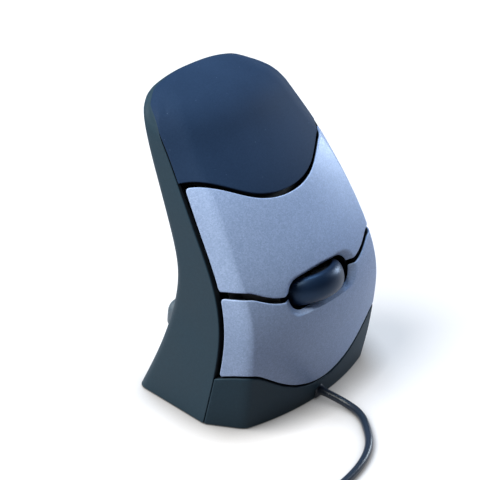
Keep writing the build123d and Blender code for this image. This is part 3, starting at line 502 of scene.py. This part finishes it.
def wider_out(line, shift):
    """A line moved by shift, and up to half a millimetre down towards the sides."""
    return lambda y: line(y) + shift - 0.5 * np.clip((np.abs(y) - 15) / 12, 0, 1)


def button(name, low, high, rows):
    """A button between two edges, in place of the CAD node of that name."""
    points, normals = face_patch(low, high, button_gap, columns, rows, face_x, ROUND)
    vertices, faces = closed_sheet(points, normals, thickness(points), RIM)
    return new_object(name + "_skin", vertices, faces, name, [name], gap_shade_marks(points))


upper_button = button("upper_button",
                      wheel_edge(moved_line(middle_line, RIM), button_gap, 1),
                      plain_edge(moved_line(cap_line, -CAP_GAP - RIM), button_gap),
                      rows_tall)
lower_button = button("lower_button",
                      plain_edge(moved_line(foot_line, RIM), button_gap),
                      wheel_edge(wider_out(middle_line, -MIDDLE_GAP - RIM), button_gap, -1),
                      1 - rows_tall[::-1])

# Shells of the finger side
SEAM_RIM = 0.2
SEAM_GAP = 0.28            # half the parting line's width
SHELL_RIM = 0.4            # radius of the other edges of the shells
shell_gap = SEAM_GAP + SEAM_RIM
SHELL_LOW = 0.3 + SHELL_RIM  # the shells end this far above the ground, before their rounding
rows_base = spaced([(0, 0.02), (0.1, 0.05), (0.9, 0.05), (1, 0.02)])
base_low = plain_edge(lambda y: np.full_like(y, SHELL_LOW), shell_gap)
base_high = plain_edge(moved_line(foot_line, -FOOT_GAP - SHELL_RIM), shell_gap)
points, normals = face_patch(base_low, base_high, shell_gap, columns, rows_base, plain_x, 0)
vertices, faces = closed_sheet(points, normals, WALL, SHELL_RIM)
base_shell = new_object("front_base_skin", vertices, faces, "housing", ["front_base_shell"],
                        gap_shade_marks(points))

TOP_STEPS = 9              # rows in the bend over the top edge
# Distance from the middle, and how much further back than the seam the cap reaches there
TOP_SEAM_BACK = ([0, 15, 20, 25, 28.3], [2.1, 2.3, 2.8, 2.2, 0])
FACE_ROLL = 5.5            # the face begins to roll over this far below the top edge
CAP_WALL = 1.4
CAP_REACH, BACK_REACH = 6.0, 1.8  # how far past the top corner either side's bend ends


def top_rim(y):
    """Along the top the shells meet in a hairline: the radius of their edges there."""
    return np.interp(np.abs(y), [21, 27], [0.03, SEAM_RIM])


def crown_normal(y):
    """The upward normals along the top line."""
    h = 0.05
    slope = (crown_line(y + h) - crown_line(y - h)) / (2 * h)
    return unit(np.stack([np.zeros_like(y), -slope, np.ones_like(y)], -1))


def on_crown(y, shift):
    """The line along the top where the cap and the back shell part, moved by shift in X."""
    z = crown_line(y)
    back = np.interp(np.abs(y), *TOP_SEAM_BACK)
    return np.stack([seam_x(z) + shift - back, y, z], -1)


def over_the_top(points, normals, corner, target, m, reach):
    """A grid with rows added that carry its columns on from its last row, round a top
    corner, and on to a line along the top. m are the normals there, and reach is how far
    past the corner the bend ends."""
    begin, n = points[-1], normals[-1]
    way = target - corner
    room = np.linalg.norm(way, axis=-1, keepdims=True)
    end = corner + way / np.maximum(room, 1e-9) * np.minimum(reach, 0.8 * room)
    rows = []
    for step in range(1, TOP_STEPS + 1):
        t = step / TOP_STEPS
        place = begin * (1 - t) ** 2 + corner * 2 * t * (1 - t) + end * t * t
        rows.append((place, unit(n * (1 - t) + m * t)))
    for t in (0.3, 0.6, 0.85, 1.0):
        rows.append((end + (target - end) * t, m))
    points = np.concatenate([points] + [place[None] for place, normal in rows])
    normals = np.concatenate([normals] + [normal[None] for place, normal in rows])
    return points, normals


cap_low = plain_edge(moved_line(cap_line, RIM), shell_gap)
cap_high = plain_edge(crown_line, shell_gap)
s_top, z_top = cap_high(columns)
y_top = place_y(s_top, z_top, shell_gap)
corner = np.stack([plain_x(y_top, z_top), y_top, z_top], -1)
z_begin = z_top - FACE_ROLL * 0.75 * np.clip((28.5 - np.abs(y_top)) / 8, 0.02, 1)
target = on_crown(y_top, top_rim(y_top) + 0.01)
rows_cap = spaced([(0, 0.008), (0.05, 0.02), (0.5, 0.04), (1, 0.02)])
c, v = np.meshgrid(columns, rows_cap)
z_low = cap_low(c)[1]
z = z_low * (1 - v) + z_begin[None, :] * v
y = place_y(c, z, shell_gap)
points = np.stack([plain_x(y, z), y, z], -1)
normals = face_normal(y, z, plain_x)
points, normals = over_the_top(points, normals, corner, target, crown_normal(y_top),
                               CAP_REACH)
rims = np.full(points.shape[:2], SEAM_RIM)
rims[-1] = top_rim(y_top)
vertices, faces = closed_sheet(points, normals, CAP_WALL, rims)
cap = new_object("top_cap_skin", vertices, faces, "housing", ["top_cap"], gap_shade_marks(points))

# Back shell
EDGE_ROUND = 3.0           # how far from the thumb side's edge its rounding begins
LOWEST = 0.5               # no point of the back shell lies lower


def back_path(z, w):
    """The thumb side at a height: from the seam on +Y (w 0) round to the one on -Y (w 4)."""
    z, w = np.broadcast_arrays(z, w)
    flip = np.where(w > 2, -1.0, 1.0)
    a = np.where(w > 2, 4 - w, w)
    seam = np.stack([seam_x(z) - shell_gap, seam_y(z) - 0.05], -1)
    edge = np.stack([edge_x(z), edge_y(z)], -1)
    bulge = thumb_bulge(z)
    radius = (edge[..., 1] ** 2 + bulge ** 2) / (2 * bulge)
    centre = edge[..., 0] - bulge + radius
    corner_turn = EDGE_ROUND / radius
    edge_turn = np.arcsin(edge[..., 1] / radius)
    to_seam = unit(seam - edge)
    first = edge + EDGE_ROUND * to_seam
    arc_angle = edge_turn - corner_turn
    second = np.stack([centre - radius * np.cos(arc_angle), radius * np.sin(arc_angle)], -1)
    t = np.clip(a, 0, 1)[..., None]
    flat = seam * (1 - t) + first * t
    t = np.clip((a - 1) / 0.5, 0, 1)[..., None]
    bend = first * (1 - t) ** 2 + edge * 2 * t * (1 - t) + second * t ** 2
    t = np.clip((a - 1.5) / 0.5, 0, 1)
    angle = arc_angle * (1 - t)
    curved = np.stack([centre - radius * np.cos(angle), radius * np.sin(angle)], -1)
    place = np.where((a <= 1)[..., None], flat, np.where((a <= 1.5)[..., None], bend, curved))
    return np.stack([place[..., 0], place[..., 1] * flip, z], -1)


half = np.concatenate([spaced([(0, 0.012), (0.1, 0.06), (0.85, 0.06), (1, 0.03)]),
                       np.linspace(1, 1.5, 11)[1:], np.linspace(1.5, 2, 26)[1:]])
around = np.concatenate([half, 4 - half[-2::-1]])
top = np.full(around.shape, 100.0)
for again in range(60):
    y_at = np.abs(back_path(top, around)[:, 1])
    top = top * 0.5 + 0.5 * crown_line(np.clip(y_at, 0, 31))
corner = back_path(top, around)


def back_normal(z, w):
    """The outward normals of the thumb side and its two ends."""
    h = 0.05
    dz = back_path(z + h, w) - back_path(z - h, w)
    dw = back_path(z, np.clip(w + 0.004, 0, 4)) - back_path(z, np.clip(w - 0.004, 0, 4))
    return unit(np.cross(dw, dz))


line_y = np.linspace(0, 28.3, 200)
line_x = on_crown(line_y, -shell_gap)[:, 0]
reach_y = np.abs(corner[:, 1])
met_y = np.interp(corner[:, 0], line_x, line_y)
share = np.clip(np.where(around > 2, 4 - around, around) - 1, 0, 1)
edge_y_met = met_y[np.argmin(np.abs(around - 1))]
met_y = np.where(share <= 0, met_y, edge_y_met * np.sqrt(1 - share))
met_y = np.minimum(np.minimum(met_y, reach_y), 28.3) * np.sign(corner[:, 1])
target = on_crown(met_y, -top_rim(met_y) - 0.01)
z_begin = top - np.interp(share, [0, 0.3], [2.6, 1.6])
rows_back = spaced([(0, 0.006), (0.02, 0.015), (0.9, 0.015), (1, 0.01)])
w, v = np.meshgrid(around, rows_back)
z = SHELL_LOW + (z_begin[None, :] - SHELL_LOW) * v
points = back_path(z, w)
normals = back_normal(z, w)
points, normals = over_the_top(points, normals, corner, target, crown_normal(corner[:, 1]),
                               BACK_REACH)
depth = np.interp(points[..., 2], [60, 90], [WALL, 1.0])
rims = np.full(points.shape[:2], SEAM_RIM)
rims[-1] = top_rim(met_y)
vertices, faces = closed_sheet(points, normals, depth, rims)
vertices[:, 2] = np.maximum(vertices[:, 2], LOWEST)
back_shell = new_object("back_shell_skin", vertices, faces, "housing", ["back_shell"],
                        gap_shade_marks(points))

# Thumb button
THUMB_Z = 29.0
THUMB_HALF = (30.0, 4.8)   # half its length and half its height
THUMB_CORNER = 3.2
THUMB_PROUD = 3.1          # how far it stands out of the thumb side at its middle
THUMB_LEAN = math.tan(math.radians(15.0))
THUMB_GAP = 0.35
THUMB_ROUND = 1.5          # radius of the rounding of its face's edge
THUMB_CLOSE = THUMB_HALF[1] - 0.08  # inset at which its face and its back close


def thumb_side_x(y, z):
    """The thumb side's surface away from its rounded edges."""
    edge, bulge = edge_y(z), thumb_bulge(z)
    radius = (edge ** 2 + bulge ** 2) / (2 * bulge)
    return edge_x(z) - bulge + radius - np.sqrt(radius ** 2 - y ** 2)


def rounded_outline(half_y, half_z, radius, steps=8):
    """Points round a rectangle with round corners, with points along its long sides."""
    line = []
    for cy, cz, start in ((1, 1, 0), (-1, 1, 90), (-1, -1, 180), (1, -1, 270)):
        for step in range(steps + 1):
            angle = math.radians(start + 90 * step / steps)
            line.append((cy * (half_y - radius) + radius * math.cos(angle),
                         cz * (half_z - radius) + radius * math.sin(angle)))
        if start in (0, 180):
            run = np.linspace(half_y - radius, radius - half_y, 26)[1:-1]
            line += [(cy * v, cz * half_z) for v in run]
    return np.array(line)


def capped(rings):
    """Vertices and faces of a form made of equal rings of points, closed at both ends."""
    count = len(rings[0])
    last = (len(rings) - 1) * count
    faces = []
    for start in range(0, last, count):
        for i in range(count):
            j = (i + 1) % count
            faces.append((start + i, start + j, start + count + j, start + count + i))
    faces += [tuple(range(count))[::-1], tuple(range(last, last + count))]
    return np.concatenate(rings), faces


def across_x(x, outline):
    """A ring of points at one X from an outline of (y, z) points."""
    return np.stack([np.full(len(outline), x), outline[:, 0], outline[:, 1]], -1)


def thumb_rings():
    """Outline of the button at each step from the middle of its face, over its rounded
    edge, back inside the shell to its flange and across behind."""
    face = [(THUMB_CLOSE, 0.12), (3.6, 0.10), (2.6, 0.05), (THUMB_ROUND, 0.0)]
    for step in range(1, 9):
        angle = math.pi / 2 * step / 8
        face.append((THUMB_ROUND * (1 - math.sin(angle)), -THUMB_ROUND * (1 - math.cos(angle))))
    back = [(0, 2.9), (-1.6, 3.1), (-1.6, 4.3), (1.8, 4.3), (THUMB_CLOSE, 4.3)]

    def outline(inset):
        radius = max(THUMB_CORNER - inset, 0.06)
        line = rounded_outline(THUMB_HALF[0] - inset, THUMB_HALF[1] - inset, radius)
        return line[:, 0], line[:, 1] + THUMB_Z, line[:, 1]

    rings = []
    for inset, out in face:
        y, z, up = outline(inset)
        proud = THUMB_PROUD + THUMB_LEAN * up + out
        rings.append(np.stack([thumb_side_x(y, z) - proud, y, z], -1))
    for inset, depth in back:
        y, z, up = outline(inset)
        rings.append(np.stack([thumb_side_x(y, z) + depth, y, z], -1))
    return rings


thumb_button = new_object("thumb_button_skin", *capped(thumb_rings()), "thumb_button",
                          ["thumb_button"])


def cut(obj, vertices, faces):
    """Cut a closed form, given in millimetres, out of an object."""
    mesh = mesh_of("cutter", vertices, faces)
    shape = bmesh.new()
    shape.from_mesh(mesh)
    bmesh.ops.recalc_face_normals(shape, faces=shape.faces)
    shape.to_mesh(mesh)
    shape.free()
    cutter = bpy.data.objects.new("cutter", mesh)
    bpy.context.scene.collection.objects.link(cutter)
    step = obj.modifiers.new("cut", "BOOLEAN")
    step.operation = "DIFFERENCE"
    step.solver = "EXACT"
    step.object = cutter
    depsgraph = bpy.context.evaluated_depsgraph_get()
    made = bpy.data.meshes.new_from_object(obj.evaluated_get(depsgraph))
    obj.modifiers.remove(step)
    obj.data = made
    bpy.data.objects.remove(cutter)
    shape = bmesh.new()
    shape.from_mesh(made)
    shade_smooth(shape)
    shape.to_mesh(made)
    shape.free()


opening = rounded_outline(THUMB_HALF[0] + THUMB_GAP, THUMB_HALF[1] + THUMB_GAP,
                          THUMB_CORNER + THUMB_GAP) + (0, THUMB_Z)
cut(back_shell, *capped([across_x(x, opening) for x in (-30.0, 3.0)]))

# Gland
GLAND_RADIUS = 2.0
GLAND_X = 21.0             # where its flange begins, inside the shell
GLAND_FLANGE = GLAND_RADIUS + 1.1


def gland_outline(radius, low):
    """A half circle on straight legs, seen along X, as (y, z) points."""
    angle = np.linspace(0, math.pi, 25)
    arch = [(radius * math.cos(a), EXIT[2] + radius * math.sin(a)) for a in angle]
    return np.array([(radius, low)] + arch + [(-radius, low)])


opening = gland_outline(GLAND_RADIUS + 0.05, -1.0)
cut(base_shell, *capped([across_x(x, opening) for x in (GLAND_X, 40.0)]))

rings = []
for radius, low, x in ((GLAND_FLANGE, 0.9, GLAND_X), (GLAND_FLANGE, 0.9, GLAND_X + 1.6),
                       (GLAND_RADIUS, 0.9, GLAND_X + 1.6), (GLAND_RADIUS, 0.9, 25.55),
                       (GLAND_RADIUS - 0.1, 1.0, 25.75), (GLAND_RADIUS - 0.3, 1.2, 25.85)):
    rings.append(across_x(x, gland_outline(radius, low)))
# The sleeve round the cord has as many points as the outline, so its legs turn inward
angle = np.concatenate([[-0.75], np.linspace(0, math.pi, 25), [math.pi + 0.75]])
sleeve = np.stack([np.cos(angle), np.sin(angle)], -1)
for radius, x in ((1.62, 25.9), (1.5, 27.0), (1.42, 28.2), (1.36, 28.8)):
    rings.append(across_x(x, radius * sleeve + (0, EXIT[2])))
gland = new_object("gland_skin", *capped(rings), "housing", ["cord_gland"])

# Wheel
WHEEL_RADIUS, HUB_RADIUS = 13.8, 10.8
WHEEL_HALF = 4.5
WHEEL_POWER = 2.1          # of the superellipse that is the tyre's section: 2 is an ellipse
WHEEL_STEPS = 144
WHEEL_CENTRE = np.array([17.33179, 0.0, 42.27628])
OUTWARD = np.array([math.cos(LEAN), 0.0, math.sin(LEAN)])
UPWARD = np.array([-math.sin(LEAN), 0.0, math.cos(LEAN)])


def turned(profile, steps):
    """Points and faces of a closed profile of (radius, up) points turned about the axle."""
    rings = []
    for step in range(steps):
        angle = 2 * math.pi * step / steps
        way = OUTWARD * math.cos(angle) + np.array([0, 1, 0]) * math.sin(angle)
        rings.append(WHEEL_CENTRE + profile[:, :1] * way + profile[:, 1:] * UPWARD)
    count = len(profile)
    faces = []
    for ring in range(steps):
        here, there = ring * count, (ring + 1) % steps * count
        for i in range(count):
            j = (i + 1) % count
            faces.append((here + i, here + j, there + j, there + i))
    return np.concatenate(rings), faces


angle = np.linspace(-math.pi / 2, math.pi / 2, 37)
round_up = np.sign(angle) * np.abs(np.sin(angle)) ** (2 / WHEEL_POWER) * WHEEL_HALF
round_out = HUB_RADIUS + (WHEEL_RADIUS - HUB_RADIUS) * np.cos(angle) ** (2 / WHEEL_POWER)
inside = HUB_RADIUS - 0.05
profile = np.concatenate([[(inside, -WHEEL_HALF)], np.stack([round_out, round_up], -1),
                          [(inside, WHEEL_HALF)]])
vertices, faces = turned(profile, WHEEL_STEPS)
tyre = new_object("wheel_tyre_skin", vertices, faces, "scroll_wheel", ["wheel_tyre"])

# Plug details
PLUG_SKIN = 0.12           # how far the plug's details stand proud of what carries them
RIBS, RIB_PITCH, RIB_WIDTH = 7, 2.2, 1.1
CONTACT_PITCH, CONTACT_WIDTH = 2.5, 1.0


def slab(low, high, round_edge):
    """Points and faces of a flat slab with bevelled edges, from its corners."""
    rings = []
    for x, inset in ((low[0], round_edge), (low[0] + round_edge, 0),
                     (high[0] - round_edge, 0), (high[0], round_edge)):
        y0, y1, z0, z1 = low[1] + inset, high[1] - inset, low[2] + inset, high[2] - inset
        rings.append([(x, y0, z0), (x, y1, z0), (x, y1, z1), (x, y0, z1)])
    return capped(rings)


def slabs(name, corners, round_edge):
    """One object of several slabs, riding on the housing."""
    points, faces = [], []
    for low, high in corners:
        more, sides = slab(low, high, round_edge)
        faces += [tuple(i + len(points) for i in side) for side in sides]
        points += list(more)
    return new_object(name, points, faces, "housing")


grip_low, grip_high = (np.array(c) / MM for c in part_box("plug_grip"))
shell_low, shell_high = (np.array(c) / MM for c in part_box("plug_shell"))
tongue_low, tongue_high = (np.array(c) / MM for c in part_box("plug_tongue"))
ribs = []
for number in range(RIBS):
    x = grip_low[0] + 6.0 + RIB_PITCH * number
    for y in (grip_low[1] - PLUG_SKIN, grip_high[1] - 0.5):
        ribs.append(((x, y, grip_low[2] + 1.2),
                     (x + RIB_WIDTH, y + 0.5 + PLUG_SKIN, grip_high[2] - 1.2)))
plug_ribs = slabs("plug_ribs", ribs, 0.12)
windows = []
for y in (shell_low[1] + 2.3, shell_high[1] - 4.8):
    for z in (shell_low[2] - 0.02, shell_high[2] - 0.10):
        windows.append(((shell_low[0] + 4.6, y, z), (shell_low[0] + 6.9, y + 2.5, z + PLUG_SKIN)))
plug_windows = slabs("plug_windows", windows, 0.02)
contacts = []
for number, reach in enumerate((0.8, 1.8, 1.8, 0.8)):
    y = (tongue_low[1] + tongue_high[1]) / 2 + (number - 1.5) * CONTACT_PITCH
    contacts.append(((tongue_low[0] + reach, y - CONTACT_WIDTH / 2, tongue_low[2] - 0.06),
                     (tongue_high[0] - 3.0, y + CONTACT_WIDTH / 2, tongue_low[2] + 0.1)))
plug_contacts = slabs("plug_contacts", contacts, 0.02)

# Finishes
PAINTED_GAP_SHADE = (0.004, 0.006, 0.009)  # painted shade: near black on walls and inner sides, so the gaps between parts look dark
DUST = (0.10, 0.15, 0.25)


class Finish:
    """A material with its nodes, built up from textures in the object's own space."""

    def __init__(self, name):
        self.material = bpy.data.materials.new(name)
        self.material.use_nodes = True
        self.nodes = self.material.node_tree.nodes
        self.links = self.material.node_tree.links
        self.shader = self.nodes["Principled BSDF"]
        self.place = self.nodes.new("ShaderNodeTexCoord").outputs["Object"]

    def join(self, source, target):
        """Link an output to an input."""
        self.links.new(source, target)

    def noise(self, scale, detail=2.0, stretch=(1, 1, 1)):
        """A noise texture's value."""
        shift = self.nodes.new("ShaderNodeMapping")
        shift.inputs["Scale"].default_value = stretch
        self.join(self.place, shift.inputs["Vector"])
        node = self.nodes.new("ShaderNodeTexNoise")
        node.inputs["Scale"].default_value = scale
        node.inputs["Detail"].default_value = detail
        self.join(shift.outputs["Vector"], node.inputs["Vector"])
        return node.outputs["Fac"]

    def cells(self, scale):
        """A cell texture's node."""
        node = self.nodes.new("ShaderNodeTexVoronoi")
        node.inputs["Scale"].default_value = scale
        self.join(self.place, node.inputs["Vector"])
        return node

    def ramp(self, source, stops):
        """A colour from a value, by (value, colour) stops."""
        node = self.nodes.new("ShaderNodeValToRGB")
        elements = node.color_ramp.elements
        while len(elements) < len(stops):
            elements.new(0.5)
        for element, (at, colour) in zip(elements, stops):
            element.position = at
            element.color = (*colour, 1)
        self.join(source, node.inputs["Fac"])
        return node.outputs["Color"]

    def mixed(self, one, two, share):
        """One value plus a share of another."""
        node = self.nodes.new("ShaderNodeMath")
        node.operation = "MULTIPLY_ADD"
        self.join(two, node.inputs[0])
        node.inputs[1].default_value = share
        self.join(one, node.inputs[2])
        return node.outputs["Value"]

    def remap(self, source, low, high, start=0.3, end=0.7):
        """A value that runs from low to high while the source runs from start to end."""
        node = self.nodes.new("ShaderNodeMapRange")
        node.inputs["From Min"].default_value = start
        node.inputs["From Max"].default_value = end
        node.inputs["To Min"].default_value = low
        node.inputs["To Max"].default_value = high
        self.join(source, node.inputs["Value"])
        return node.outputs["Result"]

    def bump(self, source, depth):
        """Relief of the surface, depth metres high."""
        node = self.nodes.new("ShaderNodeBump")
        node.inputs["Strength"].default_value = 1.0
        node.inputs["Distance"].default_value = depth
        self.join(source, node.inputs["Height"])
        self.join(node.outputs["Normal"], self.shader.inputs["Normal"])

    def blend(self, share, one, colour):
        """One colour, and another by a share."""
        mix = self.nodes.new("ShaderNodeMix")
        mix.data_type = "RGBA"
        self.join(share, mix.inputs["Factor"])
        self.join(one, mix.inputs["A"])
        mix.inputs["B"].default_value = (*colour, 1)
        return mix.outputs["Result"]

    def colour(self, source):
        """The finish's colour, and painted shade in near black where the mesh is marked as lying in
        the gaps' shade.
        """
        mark = self.nodes.new("ShaderNodeAttribute")
        mark.attribute_name = "gap_shade"
        share = self.remap(mark.outputs["Fac"], 0, 1, 0.0, 0.15)
        # Painted shade: the marked walls and inner sides are blended to near black
        self.join(self.blend(share, source, PAINTED_GAP_SHADE), self.shader.inputs["Base Color"])

    def rough(self, source, low, high):
        """Roughness that follows a texture."""
        self.join(self.remap(source, low, high), self.shader.inputs["Roughness"])

    def settle(self, **values):
        """Values that are the same all over the surface."""
        for name, value in values.items():
            self.shader.inputs[name.replace("_", " ")].default_value = value


def shade(colour, share):
    """A colour made darker or lighter by a share."""
    return tuple(c * share for c in colour)


def moulded(name, colour, rough, grain=1400, depth=0.000012, vary=0.08, **values):
    """Moulded plastic: fine spark texture, faint cloudiness and uneven gloss."""
    made = Finish(name)
    fine = made.noise(grain, 3.0)
    broad = made.noise(55, 3.0)
    spread = made.remap(made.mixed(fine, broad, 1.0), 0, 1, 0.75, 1.25)
    made.colour(made.ramp(spread, [(0.0, shade(colour, 1 - vary)), (1.0, shade(colour, 1 + vary))]))
    made.rough(broad, rough - 0.03, rough + 0.04)
    made.bump(fine, depth)
    made.settle(**values)
    return made.material


def silver_paint():
    """Satin silver paint over plastic: flakes that tilt and differ."""
    made = Finish("silver")
    flakes = made.cells(2600)
    broad = made.noise(40, 2.0)
    spread = made.remap(made.mixed(flakes.outputs["Color"], broad, 0.35), 0, 1, 0.1, 1.25)
    made.colour(made.ramp(spread, [(0.0, (0.295, 0.39, 0.625)), (0.5, (0.355, 0.46, 0.72)),
                                   (1.0, (0.46, 0.57, 0.85))]))
    made.rough(made.noise(900, 2.0), 0.38, 0.46)
    made.bump(made.noise(2600, 2.0), 0.000018)
    made.settle(Metallic=0.05, Specular_IOR_Level=0.45)
    return made.material


def soft_touch():
    """Rubbery soft-touch coating: very fine grain, a few specks of dust and a faint bloom."""
    made = Finish("soft_cap")
    fine = made.noise(1900, 3.0)
    broad = made.noise(45, 3.0)
    spread = made.remap(made.mixed(fine, broad, 1.0), 0, 1, 0.75, 1.25)
    colours = made.ramp(spread, [(0.0, (0.015, 0.033, 0.077)), (1.0, (0.020, 0.042, 0.094))])
    dust = made.cells(330)
    specks = made.remap(dust.outputs["Distance"], 1, 0, 0.02, 0.045)
    made.colour(made.blend(specks, colours, DUST))
    made.rough(broad, 0.56, 0.62)
    made.bump(fine, 0.000010)
    made.settle(Sheen_Weight=0.05, Sheen_Roughness=0.5, Sheen_Tint=(0.55, 0.75, 1.0, 1),
                Specular_IOR_Level=0.06)
    return made.material


def bare_metal(name, colour, rough, stretch):
    """Drawn or plated metal with faint lines along one way."""
    made = Finish(name)
    lines = made.noise(900, 3.0, stretch)
    spread = made.remap(lines, 0, 1)
    colours = made.ramp(spread, [(0.0, shade(colour, 0.9)), (1.0, colour)])
    made.join(colours, made.shader.inputs["Base Color"])
    made.rough(lines, rough, rough + 0.1)
    made.bump(lines, 0.000003)
    made.settle(Metallic=1.0)
    return made.material


finishes = {
    "dark_shell": moulded("dark_shell", (0.020, 0.043, 0.066), 0.55, Specular_IOR_Level=0.18),
    "soft_cap": soft_touch(),
    "silver": silver_paint(),
    "black_frame": moulded("black_frame", (0.005, 0.007, 0.010), 0.55),
    "grey_button": moulded("grey_button", (0.085, 0.115, 0.150), 0.45),
    "wheel_rubber": moulded("wheel_rubber", (0.005, 0.013, 0.034), 0.38, grain=1100, depth=0.000008,
                             Specular_IOR_Level=0.50, Specular_Tint=(0.40, 0.62, 1.0, 1)),
    "steel": bare_metal("steel", (0.58, 0.59, 0.61), 0.22, (1, 0.05, 1)),
    "cord_black": moulded("cord_black", (0.014, 0.023, 0.043), 0.36, grain=900, depth=0.000006),
    "contact_gold": bare_metal("contact_gold", (0.83, 0.62, 0.30), 0.20, (0.05, 1, 1)),
    "nickel": bare_metal("nickel", (0.66, 0.65, 0.62), 0.14, (0.05, 1, 1)),
    "glide": moulded("glide", (0.030, 0.030, 0.032), 0.30),
    "board_green": moulded("board_green", (0.015, 0.110, 0.045), 0.30, grain=500),
    "part_black": moulded("part_black", (0.018, 0.018, 0.020), 0.40),
    "plunger_red": moulded("plunger_red", (0.45, 0.03, 0.02), 0.30),
    "lens_clear": moulded("lens_clear", (0.80, 0.84, 0.86), 0.08,
                          Transmission_Weight=0.9, IOR=1.49),
    "light_red": moulded("light_red", (0.60, 0.02, 0.02), 0.10, Transmission_Weight=0.6, IOR=1.5),
    "socket_white": moulded("socket_white", (0.70, 0.68, 0.62), 0.35),
    "link_white": moulded("link_white", (0.66, 0.66, 0.64), 0.40),
}


def dress(obj, name):
    """Give an object one finish in all its material slots."""
    if not obj.data.materials:
        obj.data.materials.append(finishes[name])
    for place in obj.material_slots:
        place.material = finishes[name]


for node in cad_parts.values():
    name = node.material_slots[0].material.name.split(".")[0]
    dress(node, name)
for piece, name in ((cord, "cord_black"), (upper_button, "silver"), (lower_button, "silver"),
                    (base_shell, "dark_shell"), (cap, "soft_cap"), (back_shell, "dark_shell"),
                    (thumb_button, "grey_button"), (gland, "cord_black"), (tyre, "wheel_rubber"),
                    (plug_ribs, "cord_black"), (plug_windows, "part_black")):
    dress(piece, name)
dress(plug_contacts, "contact_gold")

# Floor and light
FLOOR_HALF = 6.0
FLOOR_SEEN = (0.48, 0.46, 0.48)   # what the camera sees of the floor, with FLOOR_GLOW
FLOOR_GLOW = 0.50
FLOOR_LIT = (0.16, 0.16, 0.17)    # what the object gets back from it
CONTACT_REACH = 0.011             # reach of the painted contact shadow round what stands on the floor
WORLD_STRENGTH = 0.05

floor_mesh = bpy.data.meshes.new("floor")
floor_mesh.from_pydata([(x * FLOOR_HALF, y * FLOOR_HALF, 0)
                        for x, y in ((-1, -1), (1, -1), (1, 1), (-1, 1))], [], [(0, 1, 2, 3)])
floor = bpy.data.objects.new("floor", floor_mesh)
bpy.context.scene.collection.objects.link(floor)
ground = bpy.data.materials.new("ground")
ground.use_nodes = True
nodes, links = ground.node_tree.nodes, ground.node_tree.links
nodes.clear()
out = nodes.new("ShaderNodeOutputMaterial")
matte = nodes.new("ShaderNodeBsdfDiffuse")
matte.inputs["Color"].default_value = (*FLOOR_LIT, 1)
# Painted contact shadow: ambient occlusion darkens the floor's seen colour and its glow near the
# object
contact = nodes.new("ShaderNodeAmbientOcclusion")
contact.samples = 16
contact.inputs["Distance"].default_value = CONTACT_REACH
contact.inputs["Color"].default_value = (*FLOOR_SEEN, 1)
bright = nodes.new("ShaderNodeBsdfDiffuse")
links.new(contact.outputs["Color"], bright.inputs["Color"])
faded = nodes.new("ShaderNodeMath")
faded.operation = "MULTIPLY"
links.new(contact.outputs["AO"], faded.inputs[0])
faded.inputs[1].default_value = FLOOR_GLOW
glow = nodes.new("ShaderNodeEmission")
links.new(faded.outputs[0], glow.inputs["Strength"])
both = nodes.new("ShaderNodeAddShader")
links.new(bright.outputs[0], both.inputs[0])
links.new(glow.outputs[0], both.inputs[1])
path = nodes.new("ShaderNodeLightPath")
seen = path.outputs["Is Camera Ray"]
for kind in ("Is Glossy Ray", "Is Transmission Ray"):
    either = nodes.new("ShaderNodeMath")
    either.operation = "MAXIMUM"
    links.new(seen, either.inputs[0])
    links.new(path.outputs[kind], either.inputs[1])
    seen = either.outputs[0]
choice = nodes.new("ShaderNodeMixShader")
links.new(seen, choice.inputs["Fac"])
links.new(matte.outputs[0], choice.inputs[1])
links.new(both.outputs[0], choice.inputs[2])
links.new(choice.outputs[0], out.inputs["Surface"])
floor_mesh.materials.append(ground)

bpy.context.scene.view_settings.view_transform = "Standard"
world = bpy.data.worlds.new("world")
bpy.context.scene.world = world
world.use_nodes = True
sky = world.node_tree.nodes["Background"]
sky.inputs["Color"].default_value = (1, 1, 1, 1)
sky.inputs["Strength"].default_value = WORLD_STRENGTH

LIGHT_TARGET = (0, 0, 0.05)


def area_light(name, place, size, power, colour):
    """A round lamp that points at the middle of the object."""
    data = bpy.data.lights.new(name, "AREA")
    data.shape = "DISK"
    data.size = size
    data.energy = power
    data.color = colour
    lamp = bpy.data.objects.new(name, data)
    lamp.location = place
    way = Vector(LIGHT_TARGET) - Vector(place)
    lamp.rotation_euler = way.to_track_quat("-Z", "Y").to_euler()
    bpy.context.scene.collection.objects.link(lamp)


area_light("key", (-0.32, -0.72, 1.18), 0.90, 30, (0.98, 1.0, 0.94))
area_light("top", (-0.30, 0.26, 1.22), 0.60, 7, (0.45, 0.72, 1.0))
area_light("side", (0.20, 1.12, 0.34), 0.40, 8, (0.76, 0.88, 1.0))
